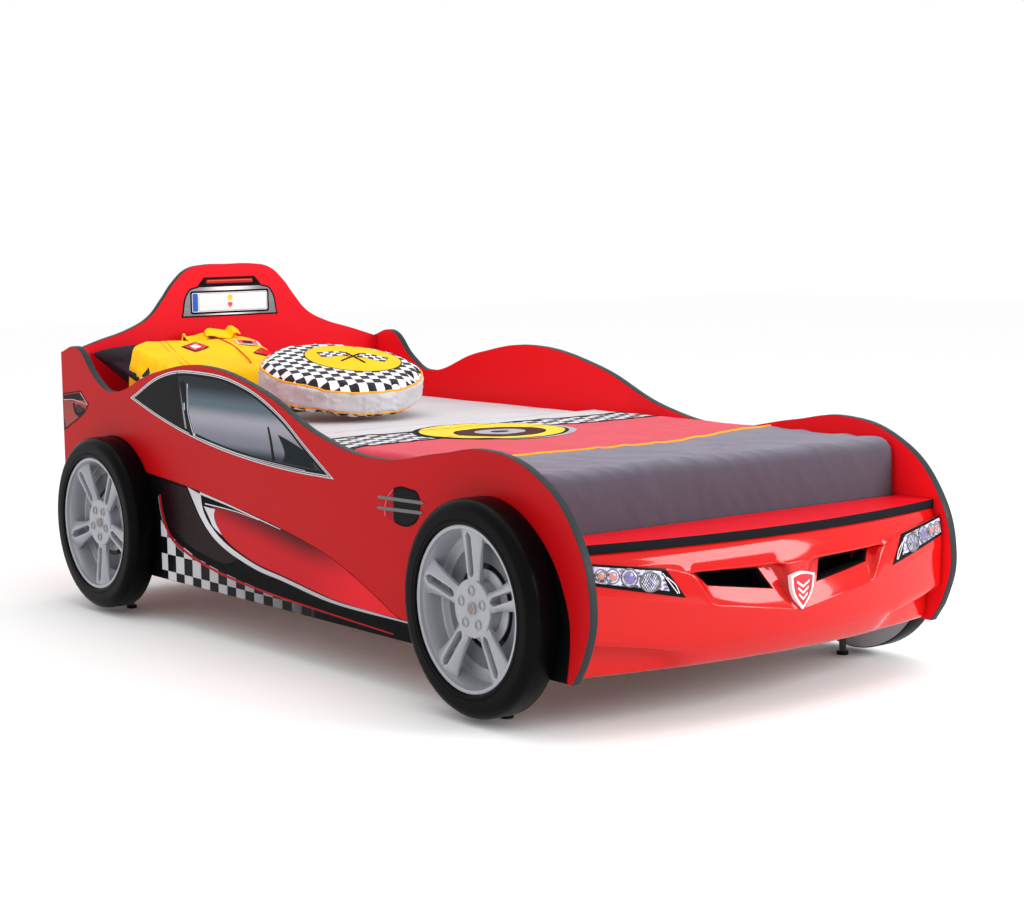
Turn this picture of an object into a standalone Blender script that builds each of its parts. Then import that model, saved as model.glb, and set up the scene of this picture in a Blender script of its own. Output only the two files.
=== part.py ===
"""Race-car bed for a child: board body, moulded bumper, plastic wheels, slats, mattress and bedding.

Frame: metres, +Z up, floor at z = 0, the bumper faces -Y and the headboard stands at +Y.
The bed is symmetric about x = 0, and y = 0 is halfway along its whole length.
"""
import math

import bmesh
import bpy
from mathutils import Euler, Matrix

# ---- driving dimensions -------------------------------------------------------------------
GAP = 0.0003                 # between touching pieces
BOARD = 0.018                # melamine board of panels, headboard, footboard and shelf
MATTRESS_WIDTH = 0.900
MATTRESS_LENGTH = 1.900
MATTRESS_HEIGHT = 0.170
SIDE_CLEARANCE = 0.012       # mattress to side panel
HEAD_CLEARANCE = 0.034       # mattress to headboard
FOOT_CLEARANCE = 0.010       # mattress to footboard
BUMPER_REACH = 0.190         # footboard's inner face to the badge's front
PANEL_REACH = 0.144          # footboard's inner face to the side panels' nose
SHELF_REACH = 0.158          # footboard's inner face to the shelf's front, at the middle
SHELF_BOW = 0.062            # how far the shelf's front falls back at the sides
PANEL_BOTTOM = 0.1055        # the boards' height above the floor
SHELF_TOP = 0.358
SLAT_TOP = 0.2995
TYRE_RADIUS = 0.2073
TYRE_CLEARANCE = 0.0117      # tyre to floor, the bed stands on its feet
TYRE_SHOULDER = 0.020
WHEEL_FACE = 0.067           # side panel to the tyre's outer side
RIM_RADIUS = 0.1596
RIM_INSET = 0.004            # tyre's outer side to the rim's lip
RIM_WALL = 0.004
SPOKES = 5
WHEEL_SEGMENTS = 40
DISC_THICKNESS = 0.008
FOIL = 0.0004                # printed film
SLATS = 10
SLAT_WIDTH = 0.070
SLAT_THICKNESS = 0.012
RAIL_WIDTH = 0.020
RAIL_HEIGHT = 0.040
BLOCK_SIZE = (0.024, 0.060, 0.070)
STEM_RADIUS = 0.008
PAD_RADIUS = 0.013
PAD_HEIGHT = 0.008
STEM_CLEARANCE = 0.0005      # foot stem to the block's bore, on the radius
STEM_GRIP = 0.046            # length of stem inside the block when screwed in
BUMPER_WALL = 0.004
BUMPER_COLUMNS = 18
LAMP_FILM = 0.0015
FILM_LIFT = 0.0016           # lamp film to the bumper, which is curved under it
SPREAD = 0.007               # bedspread, quilted
SPREAD_HEAD_EDGE = 0.952     # mattress's foot end to the bedspread's head edge
PILLOW_WIDTH = 0.510
CUSHION_RADIUS = 0.200
CUSHION_HEIGHT = 0.074

# ---- places worked out from them ----------------------------------------------------------
INNER_X = MATTRESS_WIDTH / 2 + SIDE_CLEARANCE
OUTER_X = INNER_X + BOARD
TOTAL_LENGTH = BOARD + HEAD_CLEARANCE + MATTRESS_LENGTH + FOOT_CLEARANCE + BUMPER_REACH
REAR_Y = TOTAL_LENGTH / 2
HEADBOARD_Y = REAR_Y - BOARD
MATTRESS_HEAD_Y = HEADBOARD_Y - HEAD_CLEARANCE
MATTRESS_FOOT_Y = MATTRESS_HEAD_Y - MATTRESS_LENGTH
FOOTBOARD_Y = MATTRESS_FOOT_Y - FOOT_CLEARANCE
NOSE_Y = FOOTBOARD_Y - PANEL_REACH
SHELF_FRONT_Y = FOOTBOARD_Y - SHELF_REACH
MATTRESS_TOP = SLAT_TOP + 0.0005 + MATTRESS_HEIGHT
DRAWN_LENGTH = 2.106         # panel length that the side outlines are drawn for
WHEEL_Z = TYRE_RADIUS + TYRE_CLEARANCE
DISC_X = OUTER_X + FOIL + 2 * GAP
TYRE_FACE_X = OUTER_X + WHEEL_FACE
FOOT_X = INNER_X - GAP - BLOCK_SIZE[0] / 2
BUMPER_TOP = SHELF_TOP - BOARD - GAP

# ---- outlines: metres ahead of the panels' rear end, and height above the floor -------------
# "v" marks a corner, the other points are joined by a smooth curve
SIDE_OUTLINE = (
    (0.000, 0.1055, "v"), (0.000, 0.6190, "v"), (0.088, 0.6340, "a"), (0.176, 0.5680, "a"),
    (0.250, 0.5350, "a"), (0.490, 0.5900, "a"), (0.710, 0.6180, "a"), (0.977, 0.5770, "a"),
    (1.215, 0.4950, "a"), (1.440, 0.4650, "a"), (1.655, 0.4940, "a"), (1.800, 0.5110, "a"),
    (1.950, 0.4770, "a"), (2.058, 0.3880, "a"), (2.106, 0.2500, "a"), (2.084, 0.1560, "a"),
    (2.052, 0.1055, "v"))
WINDOW_OUTLINE = (
    (0.372, 0.525, "v"), (0.545, 0.591, "a"), (0.725, 0.604, "a"), (0.900, 0.586, "a"),
    (1.050, 0.535, "a"), (1.170, 0.466, "a"), (1.272, 0.409, "v"), (1.100, 0.411, "a"),
    (0.900, 0.423, "a"), (0.700, 0.448, "a"), (0.530, 0.482, "a"))
VENT_OUTLINE = (
    (1.457, 0.362, "a"), (1.485, 0.345, "a"), (1.560, 0.346, "a"), (1.581, 0.372, "a"),
    (1.577, 0.408, "a"), (1.550, 0.415, "a"), (1.500, 0.414, "a"), (1.470, 0.396, "a"))
TAIL_LIGHT_OUTLINE = (
    (0.002, 0.515, "v"), (0.100, 0.527, "v"), (0.147, 0.496, "v"), (0.122, 0.472, "v"),
    (0.002, 0.420, "v"))
SKIRT_TOP = ((0.447, 0.352), (0.642, 0.336), (0.852, 0.311), (1.052, 0.283), (1.252, 0.243),
             (1.402, 0.190), (1.502, 0.150), (1.572, 0.147))
ARCH_RADIUS = TYRE_RADIUS + 0.0014
FRONT_ARCH = ((1.712, 0.407), (1.752, 0.418), (1.802, 0.424), (1.852, 0.420), (1.902, 0.405),
              (1.952, 0.375), (2.002, 0.325), (2.032, 0.270), (2.047, 0.220), (2.047, 0.165),
              (2.037, 0.1055))
WHEEL_STATIONS = {"rear": 0.280, "front": 1.815}

# right half of the headboard: distance from the middle, and height above the floor
HEADBOARD_HALF = ((0.000, 0.8275, "a"), (0.078, 0.8265, "a"), (0.122, 0.8170, "a"),
                  (0.162, 0.7850, "a"), (0.198, 0.7400, "a"), (0.236, 0.6980, "a"),
                  (0.290, 0.6700, "a"), (0.380, 0.6430, "a"))
HEADBOARD_EDGE_Z = 0.6170
PLATE_SURROUND = ((0.145, 0.691, "v"), (0.122, 0.762, "a"), (0.096, 0.771, "v"), (0.076, 0.794, "v"))
PLATE_HALF_WIDTH = 0.113
PLATE_BAND = (0.704, 0.754)
BRAKE_LIGHT_HALF_WIDTH = 0.070
BRAKE_LIGHT_BAND = (0.778, 0.788)

# bumper: metres below the shelf's underside, and how far it stands ahead of the shelf's front
BUMPER_PROFILE = ((0.000, -0.003), (0.030, 0.004), (0.065, 0.012), (0.100, 0.022), (0.128, 0.024),
                  (0.160, 0.020), (0.190, 0.008), (0.214, -0.014), (0.230, -0.060))
# on the bumper's face: metres from the middle, and below the shelf's underside
DRAWN_HALF_WIDTH = 0.462     # half the width between panels that these are drawn for
INTAKE_CORNERS = ((0.2285, 0.050), (0.0800, 0.055), (0.0560, 0.097), (0.2075, 0.076))
HEADLIGHT_CORNERS = ((0.2715, 0.089), (0.309, 0.033), (0.452, 0.014), (0.452, 0.050))
BADGE_OUTLINE = ((-0.030, 0.074, "v"), (0.0, 0.068, "a"), (0.030, 0.074, "v"), (0.024, 0.108, "a"),
                 (0.0, 0.140, "v"), (-0.024, 0.108, "a"))
BADGE_GAP = 0.001
BACKING_BAND = (0.035, 0.115)
BACKING_DEPTH = 0.045
BACKING_SIDE_MARGIN = 0.030  # how far the backing board runs past the intakes
SLOT_REACH = 0.2             # how far the cutter for an intake stands ahead of the nose

# wheel details
TYRE_LIP_STEP = 0.0018       # how much smaller the tyre's back lip is than its tread
TYRE_MOUTH = (0.003, 0.004)  # chamfer at the tyre's mouth: depth, and radius
SHOULDER_STEPS = 4
RIM_BORE = 0.020
HUB_RADII = (0.046, 0.040)   # boss at its root and at its face
HUB_SETBACK = 0.014          # hub face behind the rim's lip face
HUB_SEGMENTS = 20
UNION_OVERLAP = 0.001        # how far joined bodies run into each other
SPOKE_START = 0.030
SPOKE_OVERLAP_WALLS = 2.4    # spokes end this many rim walls inside the rim's outside
SPOKE_SPREAD = (0.010, 0.015)  # middle of each half spoke from the spoke's line: root, end
SPOKE_SETBACK = (0.017, 0.006)  # half spoke's top behind the rim's lip face: root, end
SPOKE_HALF_WIDTH = 0.0055
SPOKE_DEPTH = 0.016
DISC_BORE = 0.004

# feet and slat details
BLOCK_LIFT = 0.0005          # leg block above the panels' bottom edge
BORE_RUNOUT = 0.010          # how far the drill starts under the block
BORE_BOTTOM = 0.004          # free bore over the stem's end
ROUND_SEGMENTS = 20
RAIL_END_GAP = 0.004
SLAT_MARGIN = 0.050          # first and last slat from the rails' ends
SLAT_END_GAP = 0.002
WOOD_EDGES = (0.001, 0.0015)  # eased edges of a rail and of a slat

# bedding details
MATTRESS_LIFT = 0.0005
MATTRESS_EDGE = 0.012
SPREAD_TUCK = 0.012          # how far the spread hangs below the shelf's top
PILLOW_BACK_GAP = 0.004
PILLOW_DEPTH = 0.450
PILLOW_SIDE_GAP = 0.032
PILLOW_FRONT = (0.020, 0.045)  # the front's rounding: depth, and height
PILLOW_BACK = (0.030, 0.130, 0.165)  # the back's rounding: depth, height below it, height above it
PILLOW_EDGE = 0.008
JACKET_BAND = (0.065, 0.400)  # jacket's edges from the pillow's front
JACKET_THICKNESS = 0.022
JACKET_SIDES = (0.075, 0.020)  # jacket's ends inside the pillow's ends
JACKET_EDGE = 0.006
CUSHION_TILT = math.radians(9)
CUSHION_X = -0.050
CUSHION_OVERLAP = 0.018      # how far the cushion's disc runs over the pillow's front
CUSHION_EDGE = 0.008
CUSHION_LIFT = 0.001
CUSHION_SEGMENTS = 36

CURVE_STEPS = 5              # straight pieces in each span of a drawn outline
SHARP_ANGLE = math.radians(40)
WELD = 0.00002               # points closer than this are one

parts = None
cutters = None


def clear_scene():
    """Empty the file and make the two collections."""
    global parts, cutters
    for item in list(bpy.data.objects):
        bpy.data.objects.remove(item, do_unlink=True)
    parts = bpy.data.collections.new("race_car_bed")
    cutters = bpy.data.collections.new("cutters")
    bpy.context.scene.collection.children.link(parts)
    bpy.context.scene.collection.children.link(cutters)


def material(name, colour, roughness, metallic=0.0):
    """A Principled material, made once for each name."""
    found = bpy.data.materials.get(name)
    if found:
        return found
    made = bpy.data.materials.new(name)
    made.use_nodes = True
    shader = made.node_tree.nodes["Principled BSDF"]
    shader.inputs["Base Color"].default_value = (*colour, 1.0)
    shader.inputs["Roughness"].default_value = roughness
    shader.inputs["Metallic"].default_value = metallic
    made.diffuse_color = (*colour, 1.0)
    return made


def red_board():
    return material("red_board", (0.60, 0.015, 0.02), 0.40)


def red_gloss():
    return material("red_gloss", (0.72, 0.012, 0.018), 0.12)


def black_film():
    return material("black_film", (0.015, 0.013, 0.014), 0.30)


def add_object(name, mesh, finish, collection=None):
    """Link a mesh as a named object with its finish, among the parts unless told otherwise."""
    made = bpy.data.objects.new(name, mesh)
    mesh.materials.clear()
    mesh.materials.append(finish)
    (collection or parts).objects.link(made)
    return made


def mesh_from(build, name):
    """Mesh from a function that fills a bmesh."""
    work = bmesh.new()
    build(work)
    mesh = bpy.data.meshes.new(name)
    work.to_mesh(mesh)
    work.free()
    return mesh


def box(name, low, high, finish, bevel=0.0, segments=1):
    """A box between two corners, with its edges eased if a bevel is given."""
    size = [high[i] - low[i] for i in range(3)]
    middle = [(high[i] + low[i]) / 2 for i in range(3)]

    def build(work):
        bmesh.ops.create_cube(work, size=1.0)
        bmesh.ops.scale(work, vec=size, verts=work.verts)
        bmesh.ops.translate(work, vec=middle, verts=work.verts)

    made = add_object(name, mesh_from(build, name), finish)
    if bevel:
        add_bevel(made, bevel, segments)
    return made


def add_bevel(piece, width, segments):
    """Ease the sharp edges of a piece."""
    step = piece.modifiers.new("eased_edges", "BEVEL")
    step.width = width
    step.segments = segments
    step.limit_method = "ANGLE"
    step.angle_limit = SHARP_ANGLE


def cut(piece, cutter, operation="DIFFERENCE"):
    """Boolean with an object that stays out of the build."""
    cutter.hide_render = True
    cutter.display_type = "WIRE"
    step = piece.modifiers.new("cut_" + cutter.name, "BOOLEAN")
    step.operation = operation
    step.object = cutter
    step.solver = "EXACT"


def curve_plate(name, points, thickness, turn, place, finish, resolution):
    """A flat board cut to an outline: (right, up, kind) points on a closed curve."""
    curve = bpy.data.curves.new(name + "_outline", "CURVE")
    curve.dimensions = "2D"
    curve.fill_mode = "BOTH"
    curve.extrude = thickness / 2
    curve.resolution_u = resolution
    spline = curve.splines.new("BEZIER")
    spline.bezier_points.add(len(points) - 1)
    for spot, (right, up, kind) in zip(spline.bezier_points, points):
        spot.co = (right, up, 0.0)
        handle = "VECTOR" if kind == "v" else "AUTO"
        spot.handle_left_type = handle
        spot.handle_right_type = handle
    spline.use_cyclic_u = True
    drawn = bpy.data.objects.new(name + "_drawn", curve)
    drawn.matrix_world = Matrix.Translation(place) @ turn.to_4x4()
    cutters.objects.link(drawn)
    bpy.context.view_layer.update()
    graph = bpy.context.evaluated_depsgraph_get()
    mesh = bpy.data.meshes.new_from_object(drawn.evaluated_get(graph))
    work = bmesh.new()
    work.from_mesh(mesh)
    bmesh.ops.remove_doubles(work, verts=work.verts, dist=WELD)
    bmesh.ops.recalc_face_normals(work, faces=work.faces)
    work.to_mesh(mesh)
    work.free()
    made = add_object(name, mesh, finish)
    made.matrix_world = drawn.matrix_world
    bpy.data.objects.remove(drawn, do_unlink=True)
    return made


def along(station):
    """Y of a place that many metres ahead of the panels' rear end, on the drawn outline."""
    return REAR_Y - station * (REAR_Y - NOSE_Y) / DRAWN_LENGTH


def across(x):
    """X of a place that far from the middle, on the drawings of the bumper and the headboard."""
    return x * INNER_X / DRAWN_HALF_WIDTH


def side_turn():
    """Turns a flat drawing so that its x runs along +Y and its y runs up."""
    return Euler((math.pi / 2, 0.0, math.pi / 2)).to_matrix()


def front_turn():
    """Turns a flat drawing so that it stands facing -Y, upright."""
    return Euler((math.pi / 2, 0.0, 0.0)).to_matrix()


def side_plate(name, outline, inner_x, thickness, side, finish, resolution=CURVE_STEPS):
    """A flat piece parallel to the side panels; inner_x is its face towards the bed."""
    points = [(along(station), height, kind) for station, height, kind in outline]
    middle = side * (inner_x + thickness / 2)
    return curve_plate(name, points, thickness, side_turn(), (middle, 0, 0), finish, resolution)


# ---- body ---------------------------------------------------------------------------------
def make_side_panels():
    for side, word in ((-1, "left"), (1, "right")):
        side_plate("side_panel_" + word, SIDE_OUTLINE, INNER_X, BOARD, side, red_board(), 6)


def make_headboard():
    half = [(across(x), z, kind) for x, z, kind in HEADBOARD_HALF]
    edge = INNER_X - GAP
    ends = [(edge, HEADBOARD_EDGE_Z, "v"), (edge, PANEL_BOTTOM, "v"),
            (-edge, PANEL_BOTTOM, "v"), (-edge, HEADBOARD_EDGE_Z, "v")]
    points = half + ends + [(-x, z, kind) for x, z, kind in reversed(half[1:])]
    middle = (0, HEADBOARD_Y + BOARD / 2, 0)
    curve_plate("headboard", points, BOARD, front_turn(), middle, red_board(), CURVE_STEPS)


def make_footboard():
    edge = INNER_X - GAP
    box("footboard", (-edge, FOOTBOARD_Y - BOARD, PANEL_BOTTOM),
        (edge, FOOTBOARD_Y, BUMPER_TOP), red_board())


def bow(x):
    """How far the shelf's front line falls back at x."""
    return SHELF_BOW * (x / INNER_X) ** 2


def make_hood_shelf():
    """The shelf over the bumper, bowed at the front, square to the footboard at the back."""
    edge = INNER_X - GAP
    steps = 18
    front = []
    for i in range(steps + 1):
        x = -edge + 2 * edge * i / steps
        front.append((x, SHELF_FRONT_Y + bow(x), "v"))
    points = front + [(edge, FOOTBOARD_Y, "v"), (-edge, FOOTBOARD_Y, "v")]
    curve_plate("hood_shelf", points, BOARD, Matrix.Identity(3), (0, 0, SHELF_TOP - BOARD / 2),
                red_board(), 1)


# ---- bumper -------------------------------------------------------------------------------
def bumper_offset(z):
    """How far the bumper's skin stands ahead of the shelf line at a height."""
    drop = BUMPER_TOP - z
    for (high, ahead), (low, below) in zip(BUMPER_PROFILE, BUMPER_PROFILE[1:]):
        if drop <= low:
            share = (drop - high) / (low - high)
            return ahead + (below - ahead) * max(share, 0.0)
    return BUMPER_PROFILE[-1][1]


def bumper_y(x, z):
    return SHELF_FRONT_Y + bow(x) - bumper_offset(z)


def skin_patch(name, lines, finish, ahead, wall, offset):
    """A shell that follows the bumper's face: lines of (x, z) points, top to bottom."""
    def build(work):
        grid = [[work.verts.new((x, bumper_y(x, z) - ahead, z)) for x, z in line] for line in lines]
        for upper, lower in zip(grid, grid[1:]):
            for i in range(len(upper) - 1):
                work.faces.new((upper[i], lower[i], lower[i + 1], upper[i + 1]))
        work.normal_update()
        if sum(face.normal.y for face in work.faces) > 0:
            bmesh.ops.reverse_faces(work, faces=work.faces)

    made = add_object(name, mesh_from(build, name), finish)
    shell = made.modifiers.new("wall", "SOLIDIFY")
    shell.thickness = wall
    shell.offset = offset
    return made


def between(start, end, count):
    """Evenly spaced (x, z) points from one to the other, both included."""
    return [(start[0] + (end[0] - start[0]) * i / count, start[1] + (end[1] - start[1]) * i / count)
            for i in range(count + 1)]


def prism_cutter(name, corners, depth_low, depth_high):
    """A cutter that runs along Y through a slot drawn as (x, z) corners."""
    def build(work):
        near = [work.verts.new((x, depth_low, z)) for x, z in corners]
        far = [work.verts.new((x, depth_high, z)) for x, z in corners]
        work.faces.new(near)
        work.faces.new(list(reversed(far)))
        count = len(corners)
        for i in range(count):
            work.faces.new((near[i], far[i], far[(i + 1) % count], near[(i + 1) % count]))
        bmesh.ops.recalc_face_normals(work, faces=work.faces)

    return add_object(name, mesh_from(build, name), black_film(), cutters)


def make_bumper():
    edge = INNER_X - 5 * GAP
    heights = [BUMPER_TOP - drop for drop, _ in BUMPER_PROFILE]
    lines = [between((-edge, z), (edge, z), BUMPER_COLUMNS) for z in heights]
    shell = skin_patch("front_bumper", lines, red_gloss(), 0.0, BUMPER_WALL, -1.0)
    for side, word in ((-1, "left"), (1, "right")):
        corners = [(side * across(x), BUMPER_TOP - drop) for x, drop in INTAKE_CORNERS]
        cut(shell, prism_cutter("intake_slot_" + word, corners, NOSE_Y - SLOT_REACH,
                                FOOTBOARD_Y))


def make_grille_backing():
    """Dark board behind both intakes, standing against the footboard."""
    width = across(INTAKE_CORNERS[0][0]) + BACKING_SIDE_MARGIN
    face = FOOTBOARD_Y - BOARD - GAP
    box("grille_backing", (-width, face - BACKING_DEPTH, BUMPER_TOP - BACKING_BAND[1]),
        (width, face, BUMPER_TOP - BACKING_BAND[0]), black_film(), 0.002)


def make_headlights():
    """Moulded lamp films, one on each end of the bumper."""
    glass = material("headlight", (0.55, 0.57, 0.65), 0.10, 0.3)
    for side, word in ((-1, "left"), (1, "right")):
        corners = [(side * across(x), BUMPER_TOP - drop) for x, drop in HEADLIGHT_CORNERS]
        tip, top, outer_top, outer_low = corners
        inner_side = between(top, tip, 2)
        outer_side = between(outer_top, outer_low, 2)
        lines = [between(near, far, 6) for near, far in zip(inner_side, outer_side)]
        skin_patch("headlight_" + word, lines, glass, FILM_LIFT, LAMP_FILM, 1.0)


def make_badge():
    """A plain shield on the bumper's middle."""
    outline = [(x, BUMPER_TOP - drop, kind) for x, drop, kind in BADGE_OUTLINE]
    front = FOOTBOARD_Y - BUMPER_REACH
    back = SHELF_FRONT_Y - max(ahead for _, ahead in BUMPER_PROFILE) - BADGE_GAP
    curve_plate("bumper_badge", outline, back - front, front_turn(), (0, (front + back) / 2, 0),
                material("badge", (0.85, 0.85, 0.85), 0.25), 3)


# ---- printed films ------------------------------------------------------------------------
def skirt_outline():
    """Sill and wheel-arch film: arc over the rear wheel, sill line, front arch, board bottom."""
    centre = WHEEL_STATIONS["rear"]
    bottom = PANEL_BOTTOM + 0.001
    drop = math.asin((WHEEL_Z - bottom) / ARCH_RADIUS)
    reach = math.asin((SKIRT_TOP[0][1] - WHEEL_Z) / ARCH_RADIUS)
    steps = 20
    points = []
    for i in range(steps + 1):
        angle = math.pi + drop + (reach - math.pi - drop) * i / steps
        station = centre + ARCH_RADIUS * math.cos(angle)
        points.append((station, WHEEL_Z + ARCH_RADIUS * math.sin(angle), "v"))
    points += [(station, height, "v") for station, height in SKIRT_TOP[1:]]
    points += [(station, height, "v") for station, height in FRONT_ARCH[:-1]]
    points.append((FRONT_ARCH[-1][0], bottom, "v"))
    return points


def make_side_films():
    lamp = material("tail_light", (0.30, 0.04, 0.04), 0.25)
    glass = material("window_film", (0.10, 0.14, 0.18), 0.15)
    for side, word in ((-1, "left"), (1, "right")):
        inner = OUTER_X + GAP
        side_plate("side_window_" + word, WINDOW_OUTLINE, inner, FOIL, side, glass)
        side_plate("skirt_film_" + word, skirt_outline(), inner, FOIL, side, black_film(), 1)
        side_plate("side_vent_" + word, VENT_OUTLINE, inner, FOIL, side, black_film(), 3)
        side_plate("tail_light_" + word, TAIL_LIGHT_OUTLINE, inner, FOIL, side, lamp, 1)


def make_plate():
    """Plate surround with the lamp bar over it, and the two films on its face."""
    face = HEADBOARD_Y - GAP
    right = list(PLATE_SURROUND)
    points = right + [(-x, z, kind) for x, z, kind in reversed(right)]
    curve_plate("plate_surround", points, FOIL, front_turn(), (0, face - FOIL / 2, 0),
                material("plate_surround", (0.12, 0.12, 0.13), 0.3, 0.5), 4)
    front = face - FOIL - GAP
    box("number_plate", (-PLATE_HALF_WIDTH, front - FOIL, PLATE_BAND[0]),
        (PLATE_HALF_WIDTH, front, PLATE_BAND[1]), material("plate", (0.85, 0.86, 0.88), 0.4))
    box("brake_light", (-BRAKE_LIGHT_HALF_WIDTH, front - FOIL, BRAKE_LIGHT_BAND[0]),
        (BRAKE_LIGHT_HALF_WIDTH, front, BRAKE_LIGHT_BAND[1]),
        material("brake_light", (0.8, 0.05, 0.04), 0.3))


# ---- wheels -------------------------------------------------------------------------------
def turned(name, profile, finish, side, centre, segments):
    """A closed ring of (radius, x) points turned about the wheel's axle."""
    mesh = bpy.data.meshes.new(name)
    work = bmesh.new()
    spots = [work.verts.new((radius, 0.0, side * (x - DISC_X))) for radius, x in profile]
    count = len(spots)
    for i in range(count):
        work.edges.new((spots[i], spots[(i + 1) % count]))
    bmesh.ops.spin(work, geom=work.verts[:] + work.edges[:], cent=(0, 0, 0), axis=(0, 0, 1),
                   angle=2 * math.pi, steps=segments, use_merge=True)
    bmesh.ops.remove_doubles(work, verts=work.verts, dist=WELD / 2)
    bmesh.ops.recalc_face_normals(work, faces=work.faces)
    work.to_mesh(mesh)
    work.free()
    made = add_object(name, mesh, finish)
    place_wheel_piece(made, side, centre)
    return made


def place_wheel_piece(piece, side, centre):
    """Stand a piece turned about local Z on its wheel: local Z runs along world X."""
    piece.matrix_world = Matrix.Translation((side * DISC_X, centre[0], centre[1])) @ \
        Euler((0.0, math.pi / 2, 0.0)).to_matrix().to_4x4()


def tyre_profile():
    """Ring section: hollow towards the rim, round outer shoulder, skirt around the disc."""
    back = DISC_X + DISC_THICKNESS + GAP
    bore = RIM_RADIUS + GAP
    lip = TYRE_RADIUS - TYRE_LIP_STEP
    points = [(lip, DISC_X), (lip, back), (bore, back), (bore, TYRE_FACE_X - TYRE_MOUTH[0]),
              (bore + TYRE_MOUTH[1], TYRE_FACE_X)]
    middle = (TYRE_RADIUS - TYRE_SHOULDER, TYRE_FACE_X - TYRE_SHOULDER)
    for i in range(SHOULDER_STEPS + 1):
        angle = math.pi / 2 * (1 - i / SHOULDER_STEPS)
        points.append((middle[0] + TYRE_SHOULDER * math.cos(angle),
                       middle[1] + TYRE_SHOULDER * math.sin(angle)))
    points.append((TYRE_RADIUS, DISC_X))
    return points


def rim_profile():
    """Dished ring section: lip, barrel and the plate behind the spokes, open at the middle."""
    back = DISC_X + DISC_THICKNESS + GAP
    face = TYRE_FACE_X - RIM_INSET
    wall = RIM_WALL
    return [(RIM_BORE, back), (RIM_BORE, back + wall), (RIM_RADIUS - 4 * wall, back + wall),
            (RIM_RADIUS - 3 * wall, face - 3 * wall), (RIM_RADIUS - 2 * wall, face),
            (RIM_RADIUS, face), (RIM_RADIUS, face - wall), (RIM_RADIUS - wall, face - 2 * wall),
            (RIM_RADIUS - 2 * wall, back)]


def spoke_cutter(name, side, centre, clocking):
    """Hub boss and the five split spokes as one closed body, to join to the rim."""
    back = DISC_X + DISC_THICKNESS + GAP
    face = TYRE_FACE_X - RIM_INSET
    hub_depth = face - HUB_SETBACK - back
    middle = back - DISC_X + UNION_OVERLAP + hub_depth / 2

    def build(work):
        bmesh.ops.create_cone(work, cap_ends=True, segments=HUB_SEGMENTS, radius1=HUB_RADII[0],
                              radius2=HUB_RADII[1], depth=hub_depth - UNION_OVERLAP)
        bmesh.ops.translate(work, vec=(0, 0, side * middle), verts=work.verts)

    boss = add_object(name + "_boss", mesh_from(build, name + "_boss"), black_film(), cutters)
    place_wheel_piece(boss, side, centre)
    arms = []
    for spoke in range(SPOKES):
        for half in (-1, 1):
            arms.append(spoke_arm(name, side, centre, clocking, spoke, half))
    return boss, arms


def spoke_arm(name, side, centre, clocking, spoke, half):
    """One half of a split spoke: a bar from the hub to the barrel, leaning outwards."""
    back = DISC_X + DISC_THICKNESS + GAP
    face = TYRE_FACE_X - RIM_INSET
    end = RIM_RADIUS - SPOKE_OVERLAP_WALLS * RIM_WALL
    angle = clocking + 2 * math.pi * spoke / SPOKES
    stations = zip((SPOKE_START, end), SPOKE_SPREAD, SPOKE_SETBACK)

    def build(work):
        corners = []
        for radius, spread, setback in stations:
            top = face - setback - DISC_X
            low = max(back - DISC_X + 2 * UNION_OVERLAP, top - SPOKE_DEPTH)
            for lateral in (half * spread - SPOKE_HALF_WIDTH, half * spread + SPOKE_HALF_WIDTH):
                for depth in (low, top):
                    corners.append(work.verts.new((radius, lateral, side * depth)))
        a, b, c, d, e, f, g, h = corners
        for face_corners in ((a, b, d, c), (e, g, h, f), (a, e, f, b), (c, d, h, g), (a, c, g, e),
                             (b, f, h, d)):
            work.faces.new(face_corners)
        bmesh.ops.recalc_face_normals(work, faces=work.faces)
        bmesh.ops.rotate(work, matrix=Matrix.Rotation(angle, 3, "Z"), verts=work.verts)

    label = f"{name}_arm_{spoke}_{half}"
    made = add_object(label, mesh_from(build, label), black_film(), cutters)
    place_wheel_piece(made, side, centre)
    return made


def make_wheels():
    rubber = material("tyre", (0.02, 0.02, 0.022), 0.45)
    silver = material("rim", (0.36, 0.37, 0.40), 0.35, 0.6)
    grey = material("wheel_disc", (0.45, 0.45, 0.50), 0.5)
    for end, station in WHEEL_STATIONS.items():
        centre = (along(station), WHEEL_Z)
        for side, word in ((-1, "left"), (1, "right")):
            tag = f"{end}_{word}"
            turned("tyre_" + tag, tyre_profile(), rubber, side, centre, WHEEL_SEGMENTS)
            rim = turned("rim_" + tag, rim_profile(), silver, side, centre, WHEEL_SEGMENTS)
            boss, arms = spoke_cutter("spokes_" + tag, side, centre, math.pi if end == "front" else 0.0)
            cut(rim, boss, "UNION")
            for arm in arms:
                cut(rim, arm, "UNION")
            disc_radius = TYRE_RADIUS - TYRE_LIP_STEP - GAP
            profile = [(DISC_BORE, DISC_X), (DISC_BORE, DISC_X + DISC_THICKNESS),
                       (disc_radius, DISC_X + DISC_THICKNESS), (disc_radius, DISC_X)]
            turned("wheel_disc_" + tag, profile, grey, side, centre, WHEEL_SEGMENTS)


# ---- feet and slat base -------------------------------------------------------------------
def cylinder(name, radius, low, high, x, y, finish, collection=None):
    """An upright cylinder between two heights."""
    def build(work):
        bmesh.ops.create_cone(work, cap_ends=True, segments=ROUND_SEGMENTS, radius1=radius,
                              radius2=radius, depth=high - low)
        bmesh.ops.translate(work, vec=(0, 0, (high + low) / 2), verts=work.verts)

    made = add_object(name, mesh_from(build, name), finish, collection)
    made.location = (x, y, 0)
    return made


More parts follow.
